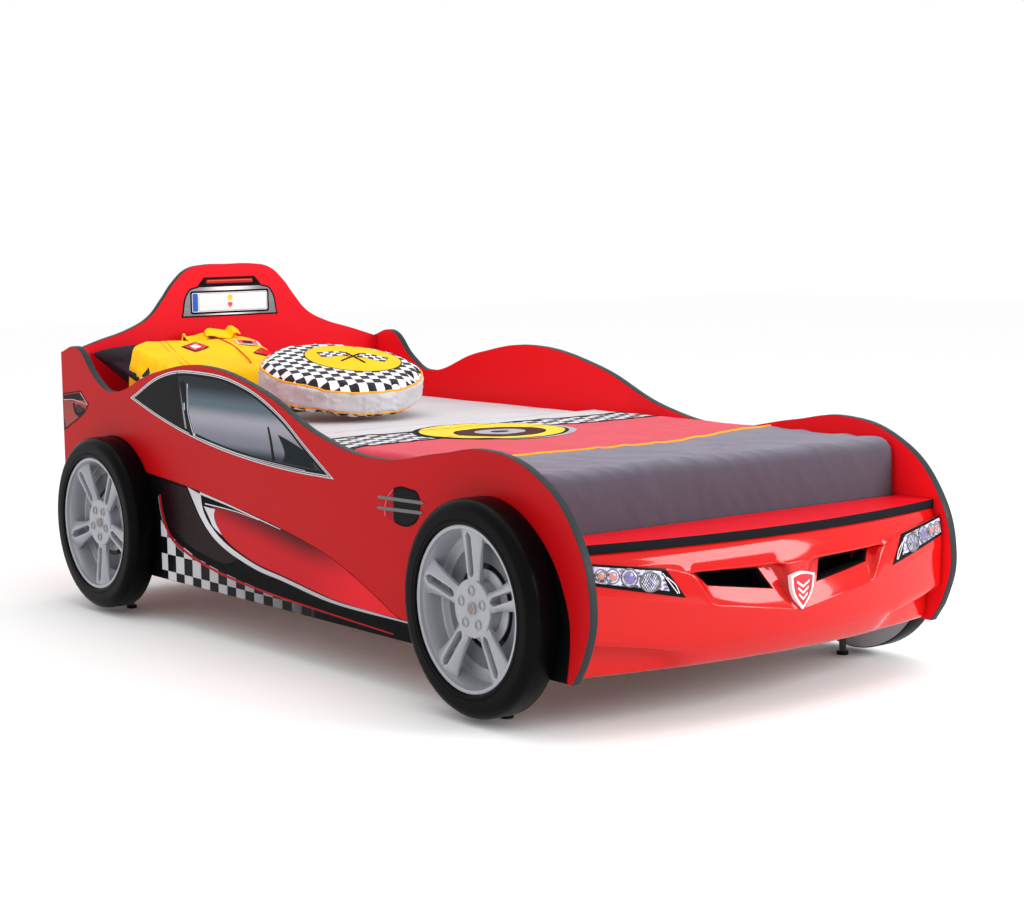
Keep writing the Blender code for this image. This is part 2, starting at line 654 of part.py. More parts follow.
def make_feet():
    """Leg blocks screwed inside the side panels, each with a screw-in foot in its bore."""
    plastic = material("black_plastic", (0.02, 0.02, 0.02), 0.5)
    low = PANEL_BOTTOM + BLOCK_LIFT
    for end, station in WHEEL_STATIONS.items():
        y = along(station)
        for side, word in ((-1, "left"), (1, "right")):
            tag = f"{end}_{word}"
            x = side * FOOT_X
            block = box("leg_block_" + tag,
                        (x - BLOCK_SIZE[0] / 2, y - BLOCK_SIZE[1] / 2, low),
                        (x + BLOCK_SIZE[0] / 2, y + BLOCK_SIZE[1] / 2, low + BLOCK_SIZE[2]), plastic)
            bore = cylinder("bore_" + tag, STEM_RADIUS + STEM_CLEARANCE, low - BORE_RUNOUT,
                            low + STEM_GRIP + BORE_BOTTOM, x, y, plastic, cutters)
            cut(block, bore)
            foot = cylinder("levelling_foot_" + tag, PAD_RADIUS, 0.0, PAD_HEIGHT, x, y, plastic)
            stem = cylinder("stem_" + tag, STEM_RADIUS, PAD_HEIGHT / 2, low + STEM_GRIP, x, y,
                            plastic, cutters)
            cut(foot, stem, "UNION")


def make_slat_base():
    """Two rails on the side panels and the slats across them."""
    wood = material("beech", (0.62, 0.42, 0.24), 0.55)
    rail_top = SLAT_TOP - SLAT_THICKNESS - GAP
    rear, front = HEADBOARD_Y - RAIL_END_GAP, FOOTBOARD_Y + RAIL_END_GAP
    for side, word in ((-1, "left"), (1, "right")):
        low_x, high_x = sorted((side * (INNER_X - GAP), side * (INNER_X - GAP - RAIL_WIDTH)))
        box("slat_rail_" + word, (low_x, front, rail_top - RAIL_HEIGHT), (high_x, rear, rail_top),
            wood, WOOD_EDGES[0])
    pitch = (rear - front - 2 * SLAT_MARGIN - SLAT_WIDTH) / (SLATS - 1)
    half = INNER_X - SLAT_END_GAP
    for index in range(SLATS):
        low_y = front + SLAT_MARGIN + index * pitch
        box(f"slat_{index + 1:02d}", (-half, low_y, SLAT_TOP - SLAT_THICKNESS),
            (half, low_y + SLAT_WIDTH, SLAT_TOP), wood, WOOD_EDGES[1])


# ---- mattress and bedding -----------------------------------------------------------------
def profile_bar(name, points, low_x, high_x, finish, bevel):
    """A bar along X with a (y, z) section, its edges eased if a bevel is given."""
    def build(work):
        left = [work.verts.new((low_x, y, z)) for y, z in points]
        right = [work.verts.new((high_x, y, z)) for y, z in points]
        work.faces.new(left)
        work.faces.new(list(reversed(right)))
        count = len(points)
        for i in range(count):
            work.faces.new((left[i], right[i], right[(i + 1) % count], left[(i + 1) % count]))
        bmesh.ops.recalc_face_normals(work, faces=work.faces)

    made = add_object(name, mesh_from(build, name), finish)
    if bevel:
        add_bevel(made, bevel, 2)


def make_mattress():
    half = MATTRESS_WIDTH / 2
    box("mattress", (-half, MATTRESS_FOOT_Y, SLAT_TOP + MATTRESS_LIFT),
        (half, MATTRESS_HEAD_Y, MATTRESS_TOP), material("sheet", (0.66, 0.65, 0.68), 0.9),
        MATTRESS_EDGE, 2)


def make_bedspread():
    """Spread over the foot end: flat on the mattress and down its foot face."""
    low = SHELF_TOP - SPREAD_TUCK
    under = MATTRESS_TOP + GAP
    behind = MATTRESS_FOOT_Y - GAP
    head = MATTRESS_FOOT_Y + SPREAD_HEAD_EDGE
    section = [(head, under), (head, under + SPREAD), (behind - SPREAD, under + SPREAD),
               (behind - SPREAD, low), (behind, low), (behind, under)]
    half = MATTRESS_WIDTH / 2
    profile_bar("bedspread", section, -half, half, material("spread", (0.14, 0.12, 0.15), 0.9), 0.0)


def make_pillow():
    """Dark pillow leaning up to the headboard and the yellow jacket over it."""
    low = MATTRESS_TOP + GAP
    back = HEADBOARD_Y - PILLOW_BACK_GAP
    front = back - PILLOW_DEPTH
    left = -INNER_X + PILLOW_SIDE_GAP
    right = left + PILLOW_WIDTH
    nose, nose_height = PILLOW_FRONT
    ease, back_height, crest = PILLOW_BACK
    section = [(front, low), (back, low), (back, low + back_height), (back - ease, low + crest),
               (front + nose, low + nose_height)]
    profile_bar("pillow", section, left, right, material("pillow", (0.11, 0.09, 0.12), 0.9),
                PILLOW_EDGE)
    rise = (crest - nose_height) / (PILLOW_DEPTH - ease - nose)
    under = [low + nose_height + 4 * GAP + (depth - nose) * rise for depth in JACKET_BAND]
    start, end = (front + depth for depth in JACKET_BAND)
    jacket = [(start, under[0]), (end, under[1]), (end, under[1] + JACKET_THICKNESS),
              (start, under[0] + JACKET_THICKNESS)]
    profile_bar("pillow_jacket", jacket, left + JACKET_SIDES[0], right - JACKET_SIDES[1],
                material("jacket", (0.90, 0.50, 0.02), 0.85), JACKET_EDGE)


def make_round_cushion():
    """Round box cushion, tipped so that its far edge rests over the pillow's foot."""
    centre_y = HEADBOARD_Y - PILLOW_BACK_GAP - PILLOW_DEPTH - CUSHION_RADIUS + CUSHION_OVERLAP
    lift = CUSHION_RADIUS * math.sin(CUSHION_TILT) + \
        CUSHION_HEIGHT / 2 * math.cos(CUSHION_TILT) + CUSHION_LIFT

    def build(work):
        bmesh.ops.create_cone(work, cap_ends=True, segments=CUSHION_SEGMENTS,
                              radius1=CUSHION_RADIUS, radius2=CUSHION_RADIUS, depth=CUSHION_HEIGHT)

    made = add_object("round_cushion", mesh_from(build, "round_cushion"),
                      material("cushion", (0.62, 0.60, 0.64), 0.9))
    made.location = (CUSHION_X, centre_y, MATTRESS_TOP + lift)
    made.rotation_euler = (CUSHION_TILT, 0.0, 0.0)
    add_bevel(made, CUSHION_EDGE, 2)


def main():
    clear_scene()
    make_side_panels()
    make_headboard()
    make_footboard()
    make_hood_shelf()
    make_bumper()
    make_grille_backing()
    make_headlights()
    make_badge()
    make_side_films()
    make_plate()
    make_wheels()
    make_feet()
    make_slat_base()
    make_mattress()
    make_bedspread()
    make_pillow()
    make_round_cushion()


main()
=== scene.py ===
import math

import bmesh
import bpy
from bpy.props import FloatProperty, FloatVectorProperty, IntProperty, PointerProperty
from mathutils import Euler, Matrix, Vector, noise
from mathutils.bvhtree import BVHTree


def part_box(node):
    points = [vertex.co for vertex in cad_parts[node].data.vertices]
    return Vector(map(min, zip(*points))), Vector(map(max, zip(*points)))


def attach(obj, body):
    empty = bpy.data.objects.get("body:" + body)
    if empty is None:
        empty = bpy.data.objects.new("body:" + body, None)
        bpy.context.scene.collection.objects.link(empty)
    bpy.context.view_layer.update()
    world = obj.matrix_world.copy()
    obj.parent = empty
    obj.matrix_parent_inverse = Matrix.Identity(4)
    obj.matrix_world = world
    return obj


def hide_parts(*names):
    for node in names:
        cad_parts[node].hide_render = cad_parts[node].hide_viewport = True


bl_info = {
    "name": "Race-car bed",
    "version": (1, 0, 0),
    "blender": (4, 5, 0),
    "location": "View3D > Sidebar > Race bed",
    "description": "Builds the visible pieces of a race-car bed around its packed frame",
    "category": "Object",
}

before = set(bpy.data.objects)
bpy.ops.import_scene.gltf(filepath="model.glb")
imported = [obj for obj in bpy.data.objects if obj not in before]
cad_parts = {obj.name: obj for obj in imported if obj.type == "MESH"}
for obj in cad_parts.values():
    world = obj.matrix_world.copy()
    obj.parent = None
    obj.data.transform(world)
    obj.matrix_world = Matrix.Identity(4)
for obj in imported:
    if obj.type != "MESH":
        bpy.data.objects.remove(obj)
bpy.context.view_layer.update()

# ---- places read from the frame -----------------------------------------------------------------
SIDE_LOW, SIDE_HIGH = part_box("side_panel_left")
PANEL_FACE = -SIDE_LOW.x
PANEL_INNER = -SIDE_HIGH.x
REAR_Y = SIDE_HIGH.y
PANEL_BOTTOM = SIDE_LOW.z
HEADBOARD_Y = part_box("headboard")[0].y
SHELF_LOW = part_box("hood_shelf")[0]
SHELF_SIDE_Y = SHELF_LOW.y + 0.062    # the shelf bows: its front edge at the side boards
MATTRESS_LOW, MATTRESS_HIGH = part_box("mattress")
SPREAD_LOW, SPREAD_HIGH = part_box("bedspread")
PILLOW_LOW, PILLOW_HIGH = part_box("pillow")
CUSHION_LOW, CUSHION_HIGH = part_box("round_cushion")
GAP = 0.0003
WHEELS = ("rear_left", "rear_right", "front_left", "front_right")
SIDES = ((-1, "left"), (1, "right"))


# ---- sizes and colours a user may change --------------------------------------------------------
def colour_setting(label, about, value):
    return FloatVectorProperty(name=label, description=about, subtype="COLOR", size=3, min=0.0,
                               max=1.0, default=value)


def length_setting(label, about, value):
    return FloatProperty(name=label, description=about, unit="LENGTH", default=value, min=0.0,
                         precision=4)


class RaceBedSizes(bpy.types.PropertyGroup):
    """Sizes of the bed's fine shapes"""
    board_ease: length_setting("Board arris", "Radius of the boards' eased arrises", 0.0008)
    tyre_shoulder: length_setting("Tyre shoulder", "Radius between sidewall and tread", 0.021)
    slot_width: length_setting("Spoke slot", "Width of the slot that splits a spoke", 0.0150)
    spoke_count: IntProperty(name="Spokes", description="Spokes on a wheel", default=5, min=3)
    mattress_round: length_setting("Mattress edge", "Radius of the mattress's edges", 0.034)
    piping_radius: length_setting("Piping", "Radius of the corded piping", 0.0026)
    cushion_swell: length_setting("Cushion swell", "Farthest the stuffing pushes cloth out", 0.016)
    pillow_swell: length_setting("Pillow swell", "Farthest the pillow's filling pushes out", 0.034)


class RaceBedColours(bpy.types.PropertyGroup):
    """Colours of the bed's finishes"""
    body: colour_setting("Body board", "Red melamine of the boards", (0.46, 0.0036, 0.0060))
    # inside: the boards' own red made brighter, painted light on the side boards' inner faces
    inside: colour_setting("Inner faces", "Red of the boards' inner faces", (0.93, 0.0100, 0.0170))
    # shelf: the same red made brighter still, painted light on the shelf's top and the headboard's
    # inner face
    shelf: colour_setting("Shelf", "Red of the shelf's top", (0.70, 0.0060, 0.0150))
    bumper: colour_setting("Bumper", "Glossy red moulding", (0.52, 0.0055, 0.0042))
    band: colour_setting("Edge band", "Grey band round the boards", (0.020, 0.026, 0.029))
    tyre: colour_setting("Tyre", "Satin black plastic", (0.0016, 0.0016, 0.0022))
    rim: colour_setting("Rim", "Silver paint on the wheels", (0.34, 0.35, 0.38))
    sheet: colour_setting("Sheet", "Light grey cotton", (0.56, 0.555, 0.58))
    # spread and face are one grey cotton: spread is lightened for the top, face darkened where it
    # hangs, painted light and shade
    spread: colour_setting("Bedspread", "Grey-purple cotton", (0.200, 0.182, 0.228))
    face: colour_setting("Bedspread's fall", "Grey where the spread hangs", (0.078, 0.064, 0.086))
    red_cloth: colour_setting("Red cloth", "Middle of the bedspread", (0.61, 0.046, 0.073))
    yellow: colour_setting("Yellow cloth", "Jacket and cushion", (0.95, 0.52, 0.006))
    piping: colour_setting("Piping", "Orange-yellow cord", (0.96, 0.40, 0.01))
    pillow: colour_setting("Pillow", "Dark purple cotton", (0.028, 0.020, 0.030))


# ---- finishes -----------------------------------------------------------------------------------
class Finish:
    """One procedural material, wired node by node."""

    def __init__(self, name, colour=(0.5, 0.5, 0.5), roughness=0.5, **settings):
        self.material = bpy.data.materials.new(name)
        self.material.use_nodes = True
        self.tree = self.material.node_tree
        self.shader = self.tree.nodes["Principled BSDF"]
        self.set("Base Color", (*colour, 1.0))
        self.set("Roughness", roughness)
        for socket, value in settings.items():
            self.set(socket.replace("_", " "), value)

    def set(self, socket, value):
        """A constant or another node's socket on the shader."""
        if isinstance(value, bpy.types.NodeSocket):
            self.tree.links.new(value, self.shader.inputs[socket])
        else:
            self.shader.inputs[socket].default_value = value

    def node(self, kind, values=(), **settings):
        made = self.tree.nodes.new(kind)
        for key, value in settings.items():
            setattr(made, key, value)
        for socket, value in dict(values).items():
            if isinstance(value, bpy.types.NodeSocket):
                self.tree.links.new(value, made.inputs[socket])
            else:
                made.inputs[socket].default_value = value
        return made

    def math(self, operation, first, second=0.0):
        return self.node("ShaderNodeMath", {0: first, 1: second}, operation=operation).outputs[0]

    def coords(self, kind="Object"):
        """The coordinate vector and its three parts."""
        if kind == "UV":
            vector = self.node("ShaderNodeUVMap", uv_map="flat").outputs[0]
        else:
            vector = self.node("ShaderNodeTexCoord").outputs[kind]
        parts = self.node("ShaderNodeSeparateXYZ", {0: vector}).outputs
        return vector, parts[0], parts[1], parts[2]

    def noise(self, vector, scale, detail=3.0, rough=0.5):
        return self.node("ShaderNodeTexNoise", {"Vector": vector, "Scale": scale, "Detail": detail,
                                                "Roughness": rough}).outputs["Fac"]

    def remap(self, value, low, high, to_low=0.0, to_high=1.0, smooth=False):
        return self.node("ShaderNodeMapRange", {0: value, 1: low, 2: high, 3: to_low, 4: to_high},
                         interpolation_type="SMOOTHSTEP" if smooth else "LINEAR").outputs[0]

    def mix(self, factor, first, second):
        """A blend of two colours, each a socket or a plain (r, g, b)."""
        made = self.node("ShaderNodeMix", data_type="RGBA")
        for socket, value in ((0, factor), (6, first), (7, second)):
            if isinstance(value, bpy.types.NodeSocket):
                self.tree.links.new(value, made.inputs[socket])
            elif socket:
                made.inputs[socket].default_value = (*value, 1.0)
            else:
                made.inputs[socket].default_value = value
        return made.outputs[2]

    def bump(self, height, strength=0.3, distance=0.001):
        made = self.node("ShaderNodeBump", {"Height": height, "Strength": strength,
                                            "Distance": distance})
        self.set("Normal", made.outputs[0])

    def stretch(self, vector, x, y, z):
        return self.node("ShaderNodeVectorMath", {0: vector, 1: (x, y, z)},
                         operation="MULTIPLY").outputs[0]

    def squares(self, first, second, pitch):
        """1 on every other square of a board of squares, else 0."""
        one = self.math("FLOOR", self.math("DIVIDE", first, pitch))
        two = self.math("FLOOR", self.math("DIVIDE", second, pitch))
        return self.math("FLOORED_MODULO", self.math("ADD", one, two), 2.0)


def painted(name, colour, roughness, speckle=0.06, grain=900.0, depth=0.0002, **settings):
    """A smooth finish with a faint orange peel and slightly uneven gloss."""
    made = Finish(name, colour, roughness, **settings)
    vector, *_ = made.coords()
    cloudy = made.noise(vector, 6.0)
    deep = tuple(channel * (1 - speckle) for channel in colour)
    made.set("Base Color", made.mix(cloudy, deep, colour))
    made.set("Roughness", made.remap(made.noise(vector, 40.0), 0.3, 0.7, roughness * 0.92,
                                     roughness * 1.08))
    made.bump(made.noise(vector, grain, 2.0), 0.25, depth)
    return made.material


def woven(name, colour, shade=0.82, thread=0.0011, kind="Object", sheen=0.25, crumple=0.5):
    """Cotton: crossing threads, soft creases and uneven dye."""
    made = Finish(name, colour, 0.88, Sheen_Weight=sheen * 0.4, Sheen_Roughness=0.5,
                  Specular_IOR_Level=0.10)
    vector, x, y, z = made.coords(kind)
    turns = 2 * math.pi / thread
    across = made.math("SINE", made.math("MULTIPLY", made.math("ADD", x, z), turns))
    along = made.math("SINE", made.math("MULTIPLY", made.math("SUBTRACT", y, z), turns))
    weave = made.math("MULTIPLY", across, along)
    creases = made.noise(vector, 28.0, 4.0, 0.6)
    height = made.math("ADD", made.math("MULTIPLY", weave, 0.10),
                       made.math("MULTIPLY", creases, crumple * 6.0))
    made.bump(height, 0.45, 0.0012)
    dark = tuple(channel * shade for channel in colour)
    made.set("Base Color", made.mix(made.remap(made.noise(vector, 9.0, 4.0), 0.35, 0.65), dark,
                                    colour))
    return made


def checked(name, pitch, light, dark, kind="UV", turn=0.0, **settings):
    """Cotton printed with squares."""
    made = woven(name, light, kind=kind, **settings)
    vector, x, y, _ = made.coords(kind)
    if turn:
        turned = made.node("ShaderNodeVectorRotate", {"Vector": vector, "Angle": turn},
                           rotation_type="Z_AXIS").outputs[0]
        parts = made.node("ShaderNodeSeparateXYZ", {0: turned}).outputs
        x, y = parts[0], parts[1]
    made.set("Base Color", made.mix(made.squares(x, y, pitch), light, dark))
    return made


def colour_of(setting):
    return tuple(getattr(bpy.context.scene.race_bed_colours, setting))


def sizes():
    return bpy.context.scene.race_bed_sizes


def edge_band():
    made = Finish("edge_band", colour_of("band"), 0.42, Specular_IOR_Level=0.12)
    vector, *_ = made.coords()
    made.bump(made.noise(vector, 500.0), 0.3, 0.0003)
    made.set("Roughness", made.remap(made.noise(vector, 60.0), 0.3, 0.7, 0.36, 0.52))
    return made.material


def shelf_band():
    made = Finish("shelf_band", (0.010, 0.010, 0.012), 0.6, Specular_IOR_Level=0.03)
    vector, *_ = made.coords()
    made.bump(made.noise(vector, 420.0, 2.0), 0.6, 0.0005)
    made.set("Base Color", made.mix(made.noise(vector, 300.0), (0.004, 0.004, 0.005),
                                    (0.014, 0.014, 0.017)))
    return made.material


def tyre_black():
    made = Finish("tyre_black", colour_of("tyre"), 0.34, Specular_IOR_Level=0.05)
    vector, *_ = made.coords()
    made.bump(made.noise(vector, 650.0, 2.0), 0.25, 0.0003)
    made.set("Roughness", made.remap(made.noise(vector, 12.0), 0.35, 0.65, 0.26, 0.36))
    return made.material


def beech():
    made = Finish("beech", (0.62, 0.42, 0.24), 0.5)
    vector, *_ = made.coords()
    drawn = made.stretch(vector, 1.5, 24.0, 24.0)
    rings = made.noise(drawn, 3.0, 5.0, 0.6)
    pores = made.noise(made.stretch(vector, 12.0, 500.0, 300.0), 1.0, 2.0)
    grain = made.mix(made.remap(rings, 0.3, 0.7), (0.47, 0.29, 0.15), (0.68, 0.48, 0.29))
    made.set("Base Color", made.mix(made.remap(pores, 0.62, 0.75, 0.0, 0.4), grain,
                                    (0.30, 0.17, 0.08)))
    made.bump(pores, 0.2, 0.0003)
    return made.material


def graded(name, low_z, high_z, stops, roughness=0.18, **settings):
    """A printed film whose colour runs from one height to another."""
    settings.setdefault("Specular_IOR_Level", 0.10)
    made = Finish(name, stops[0][1], roughness, **settings)
    vector, _, _, z = made.coords()
    share = made.remap(z, low_z, high_z)
    colour = stops[0][1]
    for (start, _), (end, shade) in zip(stops, stops[1:]):
        colour = made.mix(made.remap(share, start, end, smooth=True), colour, shade)
    made.set("Base Color", colour)
    made.bump(made.noise(vector, 300.0, 2.0), 0.08, 0.0002)
    return made.material


def window_glass():
    return graded("window_glass", 0.405, 0.600,
                  ((0.0, (0.006, 0.010, 0.016)), (0.12, (0.012, 0.020, 0.030)),
                   (0.26, (0.17, 0.18, 0.22)), (0.50, (0.31, 0.30, 0.35)),
                   (0.66, (0.085, 0.125, 0.155)), (0.88, (0.004, 0.008, 0.014))), 0.16)


def chrome_film():
    return graded("chrome_film", 0.10, 0.62,
                  ((0.0, (0.30, 0.29, 0.31)), (0.3, (0.62, 0.61, 0.64)), (0.5, (0.48, 0.47, 0.50)),
                   (0.75, (0.58, 0.57, 0.60)), (1.0, (0.66, 0.65, 0.68))), 0.25, Metallic=0.3)


def scoop_red():
    """Painted air scoop: dark under its upper line, red towards the sill, brighter at the nose."""
    made = Finish("scoop_red", colour_of("body"), 0.3, Specular_IOR_Level=0.06)
    vector, _, y, z = made.coords()
    line = made.math("ADD", made.math("MULTIPLY", y, 0.150), 0.279)
    under = made.math("SUBTRACT", line, z)
    depth = made.remap(under, -0.012, 0.062, smooth=True)
    nose = made.remap(y, -0.30, -0.06, smooth=True)
    shade = made.math("MULTIPLY", made.math("SUBTRACT", 1.0, depth), nose)
    red = made.mix(made.remap(y, -0.02, -0.32, smooth=True), (0.50, 0.006, 0.012),
                   (0.70, 0.012, 0.022))
    made.set("Base Color", made.mix(shade, red, (0.022, 0.002, 0.004)))
    made.bump(made.noise(vector, 700.0, 2.0), 0.15, 0.0002)
    return made.material


def sill_squares():
    """Printed sill: grey and black squares that fade out towards the nose."""
    made = Finish("sill_squares", (0.5, 0.5, 0.5), 0.3, Specular_IOR_Level=0.05)
    _, _, y, z = made.coords()
    first = made.math("ADD", y, SQUARE * 13 - (REAR_Y - 0.535))
    second = made.math("ADD", z, SQUARE * 4 - 0.127)
    light = made.remap(y, -0.10, 0.52, 0.02, 1.0)
    pale = made.mix(light, (0.006, 0.005, 0.006), (0.56, 0.55, 0.58))
    made.set("Base Color", made.mix(made.squares(first, second, SQUARE), (0.0036, 0.0030, 0.0036),
                                    pale))
    return made.material


def lamp_chrome():
    """Moulded lamp reflector: bright facets with violet and black between them."""
    made = Finish("lamp_chrome", (0.6, 0.6, 0.7), 0.12, Metallic=0.1, Specular_IOR_Level=0.3)
    vector, *_ = made.coords()
    cells = made.node("ShaderNodeTexVoronoi", {"Vector": made.stretch(vector, 1.0, 1.0, 1.7),
                                               "Scale": 85.0}).outputs["Distance"]
    streak = made.noise(made.stretch(vector, 1.0, 1.0, 2.5), 60.0, 4.0, 0.65)
    base = made.mix(made.remap(streak, 0.40, 0.62), (0.02, 0.02, 0.035), (0.30, 0.28, 0.46))
    made.set("Base Color", made.mix(made.remap(cells, 0.36, 0.60), base, (0.55, 0.53, 0.68)))
    made.bump(cells, 0.5, 0.002)
    return made.material


def lamp_grid():
    """Round reflector with a pressed grid of bright ribs."""
    made = Finish("lamp_grid", (0.5, 0.5, 0.55), 0.12, Metallic=0.1, Specular_IOR_Level=0.3)
    vector, x, _, z = made.coords()
    ribs = made.math("MULTIPLY", made.math("SINE", made.math("MULTIPLY", x, 1250.0)),
                     made.math("SINE", made.math("MULTIPLY", z, 900.0)))
    cloud = made.noise(vector, 120.0, 3.0)
    level = made.math("ADD", made.math("MULTIPLY", ribs, 0.35), cloud)
    made.set("Base Color", made.mix(made.remap(level, 0.35, 0.75), (0.015, 0.014, 0.020),
                                    (0.50, 0.49, 0.60)))
    made.bump(ribs, 0.4, 0.001)
    return made.material


def grey_with_painted_light_and_shade():
    """The spread's foot part: lighter on its top and darker where it hangs over the mattress's end,
    painted light and shade.
    """
    made = woven("spread_grey", colour_of("spread"), kind="UV", shade=0.90, crumple=0.6,
                 sheen=0.15)
    _, _, y, _ = made.coords("UV")
    # painted shade: the grey darkens from the lit top to where the spread hangs over the end
    made.set("Base Color", made.mix(made.remap(y, MATTRESS_LOW.y + 0.045, MATTRESS_LOW.y - 0.030,
                                               smooth=True),
                                    colour_of("spread"), colour_of("face")))
    return made.material


def brushed_frame():
    made = Finish("brushed_frame", (0.3, 0.3, 0.32), 0.3, Metallic=0.5)
    vector, x, *_ = made.coords()
    glow = made.remap(made.math("ABSOLUTE", x), 0.10, 0.0, smooth=True)
    lines = made.noise(made.stretch(vector, 4.0, 1.0, 900.0), 1.0, 3.0)
    level = made.math("ADD", made.math("MULTIPLY", lines, 0.25), made.math("MULTIPLY", glow, 0.75))
    made.set("Base Color", made.mix(level, (0.055, 0.055, 0.06), (0.78, 0.76, 0.80)))
    made.bump(lines, 0.2, 0.0002)
    return made.material


def pale_floor():
    made = Finish("pale_floor", (0.98, 0.98, 0.98), 0.9, Specular_IOR_Level=0.05)
    vector, *_ = made.coords()
    made.set("Base Color", made.mix(made.noise(vector, 3.0), (0.978, 0.978, 0.978),
                                    (0.985, 0.985, 0.985)))
    return made.material


def tail_glass():
    made = Finish("tail_glass", (0.3, 0.05, 0.05), 0.15, Specular_IOR_Level=0.10)
    vector, *_ = made.coords()
    facets = made.node("ShaderNodeTexVoronoi", {"Vector": made.stretch(vector, 1.0, 1.0, 1.4),
                                                "Scale": 17.0}).outputs["Color"]
    level = made.node("ShaderNodeSeparateColor", {0: facets}).outputs[0]
    made.set("Base Color", made.mix(made.remap(level, 0.25, 0.85), (0.030, 0.003, 0.004),
                                    (0.40, 0.050, 0.040)))
    return made.material


SQUARE = 0.0397              # a printed square on the sill
WHITE_PRINT = (0.80, 0.80, 0.83)
INK = (0.02, 0.018, 0.022)
CHECK_TURN = math.radians(12)
# the inner-face and shelf reds are brighter copies of the body red: painted light, not another
# melamine
BOARDS = {"body_board": "body", "board_inside": "inside", "shelf_board": "shelf"}
PAINTS = {                   # colour, roughness, other settings
    "rim_shade": ((0.16, 0.165, 0.18), 0.4, {"Metallic": 0.2}),
    "wheel_grey": ((0.50, 0.50, 0.55), 0.4, {}),
    "black_plastic": ((0.012, 0.012, 0.013), 0.4, {"grain": 500.0}),
    "gloss_black": ((0.006, 0.006, 0.007), 0.12, {}),
    "black_print": ((0.0036, 0.0032, 0.0040), 0.24, {}),
    "mirror_print": ((0.004, 0.009, 0.014), 0.2, {}),
    "arch_black": ((0.0016, 0.0013, 0.0016), 0.55, {}),
    "brown_print": ((0.0110, 0.0022, 0.0032), 0.28, {}),
    "red_print": ((0.34, 0.007, 0.016), 0.3, {}),
    "pink_print": ((0.72, 0.10, 0.09), 0.25, {}),
    "white_print": (WHITE_PRINT, 0.3, {}),
    "blue_print": ((0.03, 0.12, 0.50), 0.3, {}),
    "lamp_red": ((0.42, 0.022, 0.016), 0.2, {}),
    "steel": ((0.16, 0.15, 0.15), 0.3, {"Metallic": 0.5}),
    "dull_brass": ((0.28, 0.22, 0.17), 0.4, {"Metallic": 0.5}),
    "amber_lens": ((0.50, 0.20, 0.16), 0.08, {"Coat_Weight": 0.5}),
    "violet_lens": ((0.16, 0.14, 0.34), 0.06, {"Coat_Weight": 0.5}),
    "badge_red": ((0.72, 0.012, 0.02), 0.15, {"Coat_Weight": 0.6}),
    "print_yellow": ((0.95, 0.60, 0.06), 0.8, {}),
    "print_brown": ((0.075, 0.028, 0.028), 0.8, {}),
    "print_grey": ((0.40, 0.40, 0.44), 0.8, {}),
    "print_black": ((0.018, 0.016, 0.022), 0.8, {}),
}
CLOTHS = {                   # colour setting, weave
    "sheet_cotton": ("sheet", {"kind": "UV", "shade": 0.93, "crumple": 0.35}),
    "spread_top": ("sheet", {"kind": "UV", "shade": 0.93, "crumple": 0.35}),
    "spread_red": ("red_cloth", {"kind": "UV", "shade": 0.92}),
    "yellow_cloth": ("yellow", {"shade": 0.93, "sheen": 0.1}),
    "piping_cord": ("piping", {"shade": 0.9, "thread": 0.0016}),
    "pillow_cloth": ("pillow", {"shade": 0.7, "sheen": 0.03}),
    "cushion_side": ("sheet", {"shade": 0.86, "crumple": 0.9}),
}
CHECKS = {                   # pitch, light and dark squares, coordinates, turn
    "spread_checks": (0.0265, (0.62, 0.62, 0.66), (0.014, 0.012, 0.018), "UV", CHECK_TURN),
    "cushion_checks": (0.0215, WHITE_PRINT, INK, "Object", CHECK_TURN),
    "hem_checks": (0.0235, WHITE_PRINT, INK, "UV", 0.0),
}
SPECIAL = {
    "edge_band": edge_band, "shelf_band": shelf_band, "tyre_black": tyre_black, "beech": beech,
    "window_glass": window_glass, "chrome_film": chrome_film, "scoop_red": scoop_red,
    "sill_squares": sill_squares, "lamp_chrome": lamp_chrome, "lamp_grid": lamp_grid,
    "tail_glass": tail_glass, "brushed_frame": brushed_frame, "pale_floor": pale_floor,
    "spread_grey": grey_with_painted_light_and_shade,
    "bumper_red": lambda: painted("bumper_red", colour_of("bumper"), 0.11, 0.04, 160.0, 0.00012,
                                  Coat_Weight=0.22, Coat_Roughness=0.03,
                                  Specular_IOR_Level=0.14),
    "rim_silver": lambda: painted("rim_silver", colour_of("rim"), 0.34, 0.07, 1500.0, 0.0001,
                                  Metallic=0.25, Coat_Weight=0.35, Coat_Roughness=0.25),
}
FINISHES = {}


def new_finish(name):
    if name in BOARDS:
        return painted(name, colour_of(BOARDS[name]), 0.34, 0.05, 700.0, 0.00025,
                       Specular_IOR_Level=0.07)
    if name in PAINTS:
        colour, roughness, settings = PAINTS[name]
        return painted(name, colour, roughness, Specular_IOR_Level=0.05, **settings)
    if name in CLOTHS:
        return woven(name, colour_of(CLOTHS[name][0]), **CLOTHS[name][1]).material
    if name in CHECKS:
        return checked(name, *CHECKS[name]).material
    return SPECIAL[name]()


def finish(name):
    """The named material, made the first time it is asked for."""
    if name not in FINISHES:
        FINISHES[name] = new_finish(name)
    return FINISHES[name]


# ---- mesh helpers -------------------------------------------------------------------------------
def around(steps):
    """Angles of that many even steps once round."""
    return [2 * math.pi * k / steps for k in range(steps)]


def spun(centre, dx, dy, turn):
    """A point off a centre, turned about it."""
    return (centre[0] + dx * math.cos(turn) - dy * math.sin(turn),
            centre[1] + dx * math.sin(turn) + dy * math.cos(turn))


